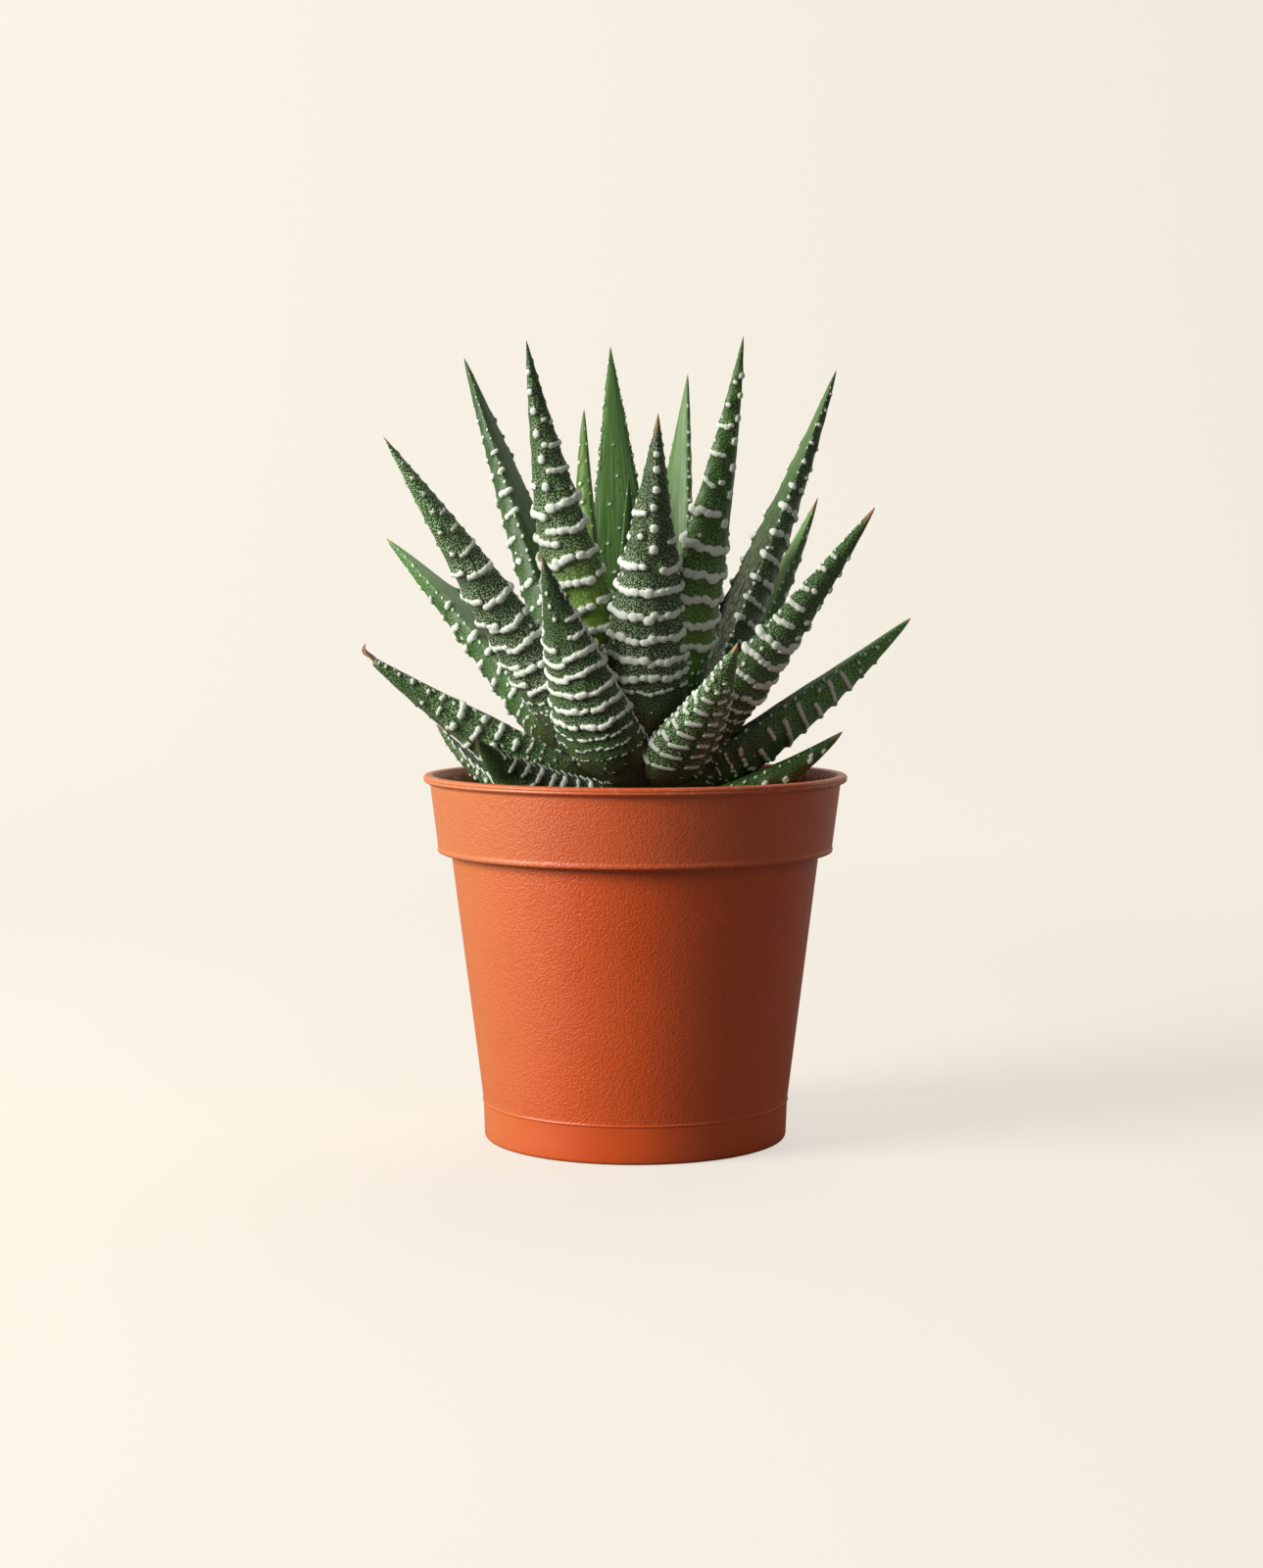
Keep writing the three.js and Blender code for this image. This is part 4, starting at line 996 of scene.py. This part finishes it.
def leaf_lumps(leaf, length, margin_at, rng):
    """All the tubercles of a leaf as capsules (from tip, across, from tip, across, radius, height).

    First come the single marks, then the rows with the beads below them, then a sprinkle of
    specks over the lower part, and last the teeth on the margins.
    """
    lumps = []
    big = leaf.get("bold", 1.0) * TUBERCLE_MM * (leaf["width"] / USUAL_WIDTH_MM) ** 0.4
    style = leaf.get("style", "rows")

    def size_at(distance):
        return big * min(0.34 + 0.085 * margin_at(distance), 0.97)

    rows = row_places(rng, leaf, length)
    single_marks(rng, lumps, leaf, margin_at, size_at)
    if style == "ovals":
        oval_columns(rng, lumps, length, margin_at, 0.90 * big)
    if style in ("rows", "dots"):
        for side in (-1, 1):
            for place in rows[side]:
                half_row(rng, lumps, leaf, place, side, place / length, margin_at, size_at, big)
    place = max(max(rows[-1]), max(rows[1])) + 2.2
    if style == "rows":
        place = rows_of_beads(rng, lumps, place, leaf.get("tail", 3), margin_at, big)
    for _ in range(leaf.get("specks", 24)):
        d = rng.uniform(min(place - 1.0, 0.80 * length), 0.88 * length)
        c = rng.uniform(-1, 1) * margin_at(d)
        radius = rng.uniform(0.12, 0.24)
        lumps.append((d, c, d, c + rng.uniform(0, 0.3), radius, 0.5 * radius))
    margin_teeth(rng, lumps, leaf, length, margin_at)
    return lumps


def raised(lumps, from_tip, across):
    """Height in mm, edge value and swelling of the tubercles at each point of a leaf.

    For each capsule, q is the distance from its middle line over its radius. Its height is
    h * (1 - q^3)^0.55 and its edge value 1 - q; the highest capsule counts at each point. The
    skin round it swells by 0.42 h * exp(-(q - 0.6)^2 / 0.9), 2.4 times as far towards the tip.
    """
    height = np.zeros_like(across)
    swell = np.zeros_like(across)
    edge = np.full_like(across, -1.0)
    rows = len(from_tip)
    backward = from_tip[::-1]
    for d0, c0, d1, c1, radius, high in lumps:
        low = rows - np.searchsorted(backward, max(d0, d1) + 2.6 * radius)
        top = rows - np.searchsorted(backward, min(d0, d1) - 5.4 * radius)
        if top <= low:
            continue
        d = from_tip[low:top, None] - d0
        c = across[low:top] - c0
        run_d, run_c = d1 - d0, c1 - c0
        k = np.clip((d * run_d + c * run_c) / (run_d ** 2 + run_c ** 2 + 1e-9), 0, 1)
        away_d, away_c = d - k * run_d, c - k * run_c
        q = np.hypot(away_d, away_c) / radius
        edge[low:top] = np.maximum(edge[low:top], 1 - q)
        dome = high * np.maximum(1 - q ** 3, 0) ** 0.55
        height[low:top] = np.maximum(height[low:top], dome)
        q = np.hypot(np.where(away_d < 0, away_d / 2.4, away_d), away_c) / radius
        foot = 0.42 * high * np.exp(-np.maximum(q - 0.6, 0) ** 2 / 0.9)
        swell[low:top] = np.maximum(swell[low:top], foot)
    return height + swell, edge, swell


def smooth_step(value, low, high):
    """0 below low and 1 above high, with an S between them."""
    k = np.clip((value - low) / (high - low), 0, 1)
    return k * k * (3 - 2 * k)


def outward(points):
    """The way out of the leaf at each point of its grid."""
    round_by = np.roll(points, -1, axis=1) - np.roll(points, 1, axis=1)
    along_by = np.gradient(points, axis=0)
    normal = unit(np.cross(round_by, along_by) + 1e-12)
    middle = points.mean(axis=1, keepdims=True)
    return normal if np.einsum("ijk,ijk->", normal, points - middle) >= 0 else -normal


def skin_relief(leaf, from_tip, t, v, inside, phase):
    """Height in mm of the furrows along the inner face and of faint swells across the outer side."""
    u = np.cos(v)[None, :]
    ridges = sum(np.sin(k * 7.0 * u + phase[i] + 0.9 * np.sin(0.13 * (i + 1) * from_tip[:, None]))
                 for i, k in enumerate((1.0, 1.7, 2.6, 3.9, 5.2))) / 5
    lower = smooth_step(1 - t, 0.2, 0.6)[:, None]
    furrows = inside * ridges * leaf.get("furrow", 0.5) * 0.30 * (0.25 + 0.75 * lower)
    swell = 0.05 * np.sin(from_tip[:, None] * 1.7 + phase[0]) * (1 - inside)
    swell = swell * np.sin(-v / 2)[None, :]
    return furrows, swell * np.minimum(from_tip[:, None] / 12, 1)


def shrivelled(points, from_tip, v, withered):
    """The leaf with its last withered mm shrunk to a crooked strand that curls upward."""
    core = points.mean(axis=1, keepdims=True)
    spoke = points - core
    strand = spoke / np.linalg.norm(spoke, axis=2).mean(axis=1)[:, None, None]
    strand = strand * (0.30 + 0.12 * np.sin(3 * v + 2.6 * from_tip[:, None]))[..., None]
    shrunk = 1 - smooth_step(from_tip, 0.75 * withered, withered)[:, None, None]
    past = np.maximum(withered - from_tip, 0)[:, None]
    curl = np.stack([0.25 * np.sin(3.1 * past), 0 * past, 0.30 * past ** 1.4], -1)
    return core + curl + spoke * (1 - shrunk) + strand * shrunk


def make_leaf(leaf):
    """One leaf: the blank with its tubercles and furrows, and the values that colour it.

    The values are stored on the points: how dry, old, worn and yellow each one is, and how much
    painted light and painted shade it carries, and so on.
    """
    rng = np.random.default_rng(LEAF_SEED + int(leaf["name"]))
    grid = FAR_GRID if leaf["name"] in FAR_LEAVES else NEAR_GRID
    points, from_tip, across, margin, t, v, tip, start = leaf_blank(leaf, *grid)
    length = from_tip[0]

    def margin_at(distance):
        return float(np.interp(distance, from_tip[::-1], margin[::-1]))

    lumps = leaf_lumps(leaf, length, margin_at, rng)
    height, edge, lift = raised(lumps, from_tip, across)
    phase = rng.uniform(0, 6.28, 5)
    inside = smooth_step(np.sin(v), 0.0, 0.35)[None, :] * np.ones_like(across)
    for relief in skin_relief(leaf, from_tip, t, v, inside, phase):
        height = height + relief
    height = height * smooth_step(from_tip, 0.3, 3.0)[:, None]
    points = points + outward(points) * height[..., None]
    if "withered" in leaf:
        points = shrivelled(points, from_tip, v, leaf["withered"])

    rows, columns = across.shape
    quads, fans = ring_faces(rows, columns)
    piece = surface("leaf_blade_" + leaf["name"],
                    np.concatenate([points.reshape(-1, 3), [start, tip]]) * MM, quads, fans)

    from_tip = from_tip[:, None]
    from_base = (length - from_tip) / length
    dry_tip = leaf.get("tip", 1.5) * (1 + 0.3 * np.sin(3 * v + phase[1])[None, :])
    dry_edge = leaf.get("brown_edge", 0.5)
    dry = 1 - smooth_step(from_tip, 0.35 * dry_tip, 1.1 * dry_tip)
    at_edge = smooth_step(across / margin[:, None], 0.50, 0.72)
    dry = np.maximum(dry, at_edge * (1 - smooth_step(from_tip, 0.5 * dry_edge, dry_edge)))
    old = leaf.get("old", 0.4) * (1 - smooth_step(from_base + 0.03 * np.sin(4 * v), 0.12, 0.26))
    # yellow_and_backlight is the yellower green of the lower part, partly the young leaf's own
    # colour and partly painted light shining through it; fresh is its least, as painted light all
    # over.
    yellow_and_backlight = leaf.get("yellow_and_backlight", 0.0) * np.exp(-((from_base - 0.32) / 0.14) ** 2)
    yellow_and_backlight = np.maximum(yellow_and_backlight, leaf.get("fresh", 0.0))
    fade = leaf.get("fade", 1.4)
    # Painted light: the inner face is painted lighter by painted_face_light, down to the share fade.
    painted_face_light = leaf.get("painted_face_light", 0.0) * (1 - smooth_step(1 - from_base, fade - 0.16, fade + 0.16))
    worn = leaf.get("worn", 0.0) * inside * smooth_step(1 - from_base, 0.24, 0.60)
    # Painted light: painted_light lightens the leaf down to painted_light_to mm, and the base is
    # painted darker over the share painted_base_shade, as painted shade.
    painted_light = leaf.get("painted_light", 1.0) - 1
    painted_light = painted_light * (1 - smooth_step(from_tip, 0.5, 1.0 + leaf.get("painted_light_to", 80)))
    painted_light = painted_light - 0.45 * (1 - smooth_step(from_base, 0.03, leaf.get("painted_base_shade", 0.22)))
    plain = min(3 * leaf.get("painted_face_light", 0.0), 1.0)
    inner = inside * np.maximum(smooth_step(from_tip, 6, 18), plain)
    values = dict(white=edge, inner=inner, dry=dry, old=old, yellow_and_backlight=yellow_and_backlight, painted_face_light=painted_face_light,
                  frost=leaf.get("frost", 0.55), lush=leaf.get("lush", 0.25),
                  tone=rng.uniform(0, 1), along=from_tip, round=across, lift=lift, worn=worn,
                  painted_light=painted_light, vein=np.cos(v)[None, :] * leaf["width"] / 2)
    for key, value in values.items():
        value = np.broadcast_to(value, (rows, columns))
        value = np.concatenate([value.ravel(), [value[0, 0], value[-1, 0]]])
        layer = piece.data.attributes.new(key, "FLOAT", "POINT")
        layer.data.foreach_set("value", value.astype(np.float32))
    return piece


leaf_skin, tree, shader, here = new_material("leaf_skin")

# frosting: a close layer of small discs on a flat pattern, in cells of one over Scale; some of
# the discs are fainter than others.
frosting, given, out = group("frosting", "Mask", Scale=4.0, Size=0.45)
discs = node(frosting, "ShaderNodeTexVoronoi", {
    "Vector": given["Vector"], "Scale": given["Scale"], "Randomness": 0.9},
    voronoi_dimensions="2D").outputs
mask = span(frosting, discs["Distance"], given["Size"], times(frosting, given["Size"], 0.45))
strength = node(frosting, "ShaderNodeSeparateColor", {"Color": discs["Color"]}).outputs[0]
frosting.links.new(times(frosting, mask, times(frosting, strength, 0.55, 0.45)), out)

white, inner, dry, old, yellow_and_backlight, painted_face_light, frost, lush, tone, along, round_by, lift, worn, painted_light, vein = (
    node(tree, "ShaderNodeAttribute", attribute_name=name).outputs["Fac"] for name in (
        "white", "inner", "dry", "old", "yellow_and_backlight", "painted_face_light", "frost", "lush", "tone", "along", "round",
        "lift", "worn", "painted_light", "vein"))
leaf_shift = times(tree, tone, 7.0)
fibre_place = node(tree, "ShaderNodeCombineXYZ", {
    "X": times(tree, vein, 1.9), "Y": times(tree, along, 0.07), "Z": leaf_shift}).outputs[0]
fibre = node(tree, "ShaderNodeTexNoise", {
    "Vector": fibre_place, "Scale": 1.0, "Detail": 3.0, "Roughness": 0.6}).outputs["Fac"]
clouds = placed(tree, mottle, Vector=here, Scale=240.0, Contrast=1.8)
deep_green = tinted(tree, clouds, (0.0100, 0.034, 0.0075, 1), (0.0210, 0.054, 0.0130, 1))
lush_green = tinted(tree, clouds, (0.0190, 0.072, 0.0080, 1), (0.0360, 0.105, 0.0140, 1))
# yellow_backlit_green: partly the young leaf's own yellow-green and partly painted light shining
# through the leaf.
yellow_backlit_green = tinted(tree, clouds, (0.115, 0.240, 0.011, 1), (0.190, 0.310, 0.018, 1))
colour = tinted(tree, yellow_and_backlight, tinted(tree, lush, deep_green, lush_green), yellow_backlit_green)
# The inner face is striped along the leaf; where it is worn it is dark and scaly.
stripes = span(tree, fibre, 0.3, 0.7)
face_dark = tinted(tree, stripes, (0.012, 0.034, 0.008, 1), (0.050, 0.095, 0.030, 1))
face_lush = tinted(tree, stripes, (0.020, 0.075, 0.007, 1), (0.060, 0.145, 0.020, 1))
# face_painted_lit is the inner face painted light green, as painted light on it.
face_painted_lit = tinted(tree, stripes, (0.070, 0.165, 0.040, 1), (0.190, 0.310, 0.120, 1))
face = tinted(tree, painted_face_light, tinted(tree, lush, face_dark, face_lush), face_painted_lit)
scale_place = node(tree, "ShaderNodeCombineXYZ", {
    "X": vein, "Y": times(tree, along, 0.5), "Z": leaf_shift}).outputs[0]
scaly = placed(tree, pebble, Vector=scale_place, Scale=2.3)
bark_like = tinted(tree, span(tree, scaly, 0.50, 1.10), (0.004, 0.009, 0.003, 1),
                   (0.080, 0.090, 0.050, 1))
colour = tinted(tree, inner, colour, tinted(tree, worn, face, bark_like))
olive = tinted(tree, fibre, (0.055, 0.050, 0.012, 1), (0.170, 0.125, 0.040, 1))
colour = tinted(tree, old, colour, olive)
husk = tinted(tree, fibre, (0.130, 0.058, 0.028, 1), (0.330, 0.190, 0.105, 1))
colour = tinted(tree, dry, colour, husk)
# Fine pale papillae cover the skin, closest on the outer side and round the tubercles, where they
# are also painted paler on the swelling skin as painted light, and fainter in the hollows as
# painted shade.
flat_place = node(tree, "ShaderNodeCombineXYZ", {
    "X": round_by, "Y": times(tree, tone, 37.0, along)}).outputs[0]
papillae = placed(tree, frosting, Vector=flat_place, Scale=2.75, Size=0.41)
rarer = times(tree, times(tree, inner, -0.80, 1.0), times(tree, dry, -0.7, 1.0))
papilla_cover = times(tree, papillae, rarer)
papilla_pale = tinted(tree, lush, (0.56, 0.60, 0.46, 1), (0.30, 0.44, 0.19, 1))
frost_and_swell_light = times(tree, papilla_cover, times(tree, frost, 0.85, 0.10))
frost_and_swell_light = times(tree, frost_and_swell_light, span(tree, lift, 0.0, 0.17, 0.50, 1.12))
frost_and_swell_light = times(tree, frost_and_swell_light, times(tree, yellow_and_backlight, -0.6, 1.0))
colour = tinted(tree, frost_and_swell_light, colour, papilla_pale)
# Painted light and shade: the skin's colour is scaled by painted_light.
colour = node(tree, "ShaderNodeVectorMath", {
    0: colour, "Scale": sums(tree, "ADD", painted_light, 1.0)}, operation="SCALE").outputs["Vector"]
# The tubercles are chalk white, with an edge that is a little uneven.
chalk = placed(tree, mottle, Vector=here, Scale=2600.0, Contrast=1.5)
white_edge = times(tree, sums(tree, "SUBTRACT", chalk, 0.5), 0.14, white)
white_cover = span(tree, white_edge, 0.02, 0.17)
chalk_colour = tinted(tree, chalk, (0.50, 0.545, 0.475, 1), (0.69, 0.735, 0.665, 1))
colour = tinted(tree, white_cover, colour, chalk_colour)
gloss = times(tree, white_cover, 0.12, span(tree, clouds, 0.1, 0.9, 0.42, 0.54))
gloss = times(tree, dry, 0.2, gloss)
relief = times(tree, papilla_cover, times(tree, white_cover, -1, 1.0))
relief = times(tree, times(tree, fibre, inner), 0.9, relief)
relief = times(tree, times(tree, chalk, white_cover), 0.3, relief)
relief = times(tree, times(tree, scaly, worn), 2.0, relief)
finish_skin(tree, shader, colour, gloss, relief, strength=0.7, depth_mm=0.06)
shader.inputs["Specular IOR Level"].default_value = 0.35

for leaf in LEAVES:
    blade = make_leaf(leaf)
    blade.data.materials.append(leaf_skin)
    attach(blade, "root")
    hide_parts("leaf_" + leaf["name"])
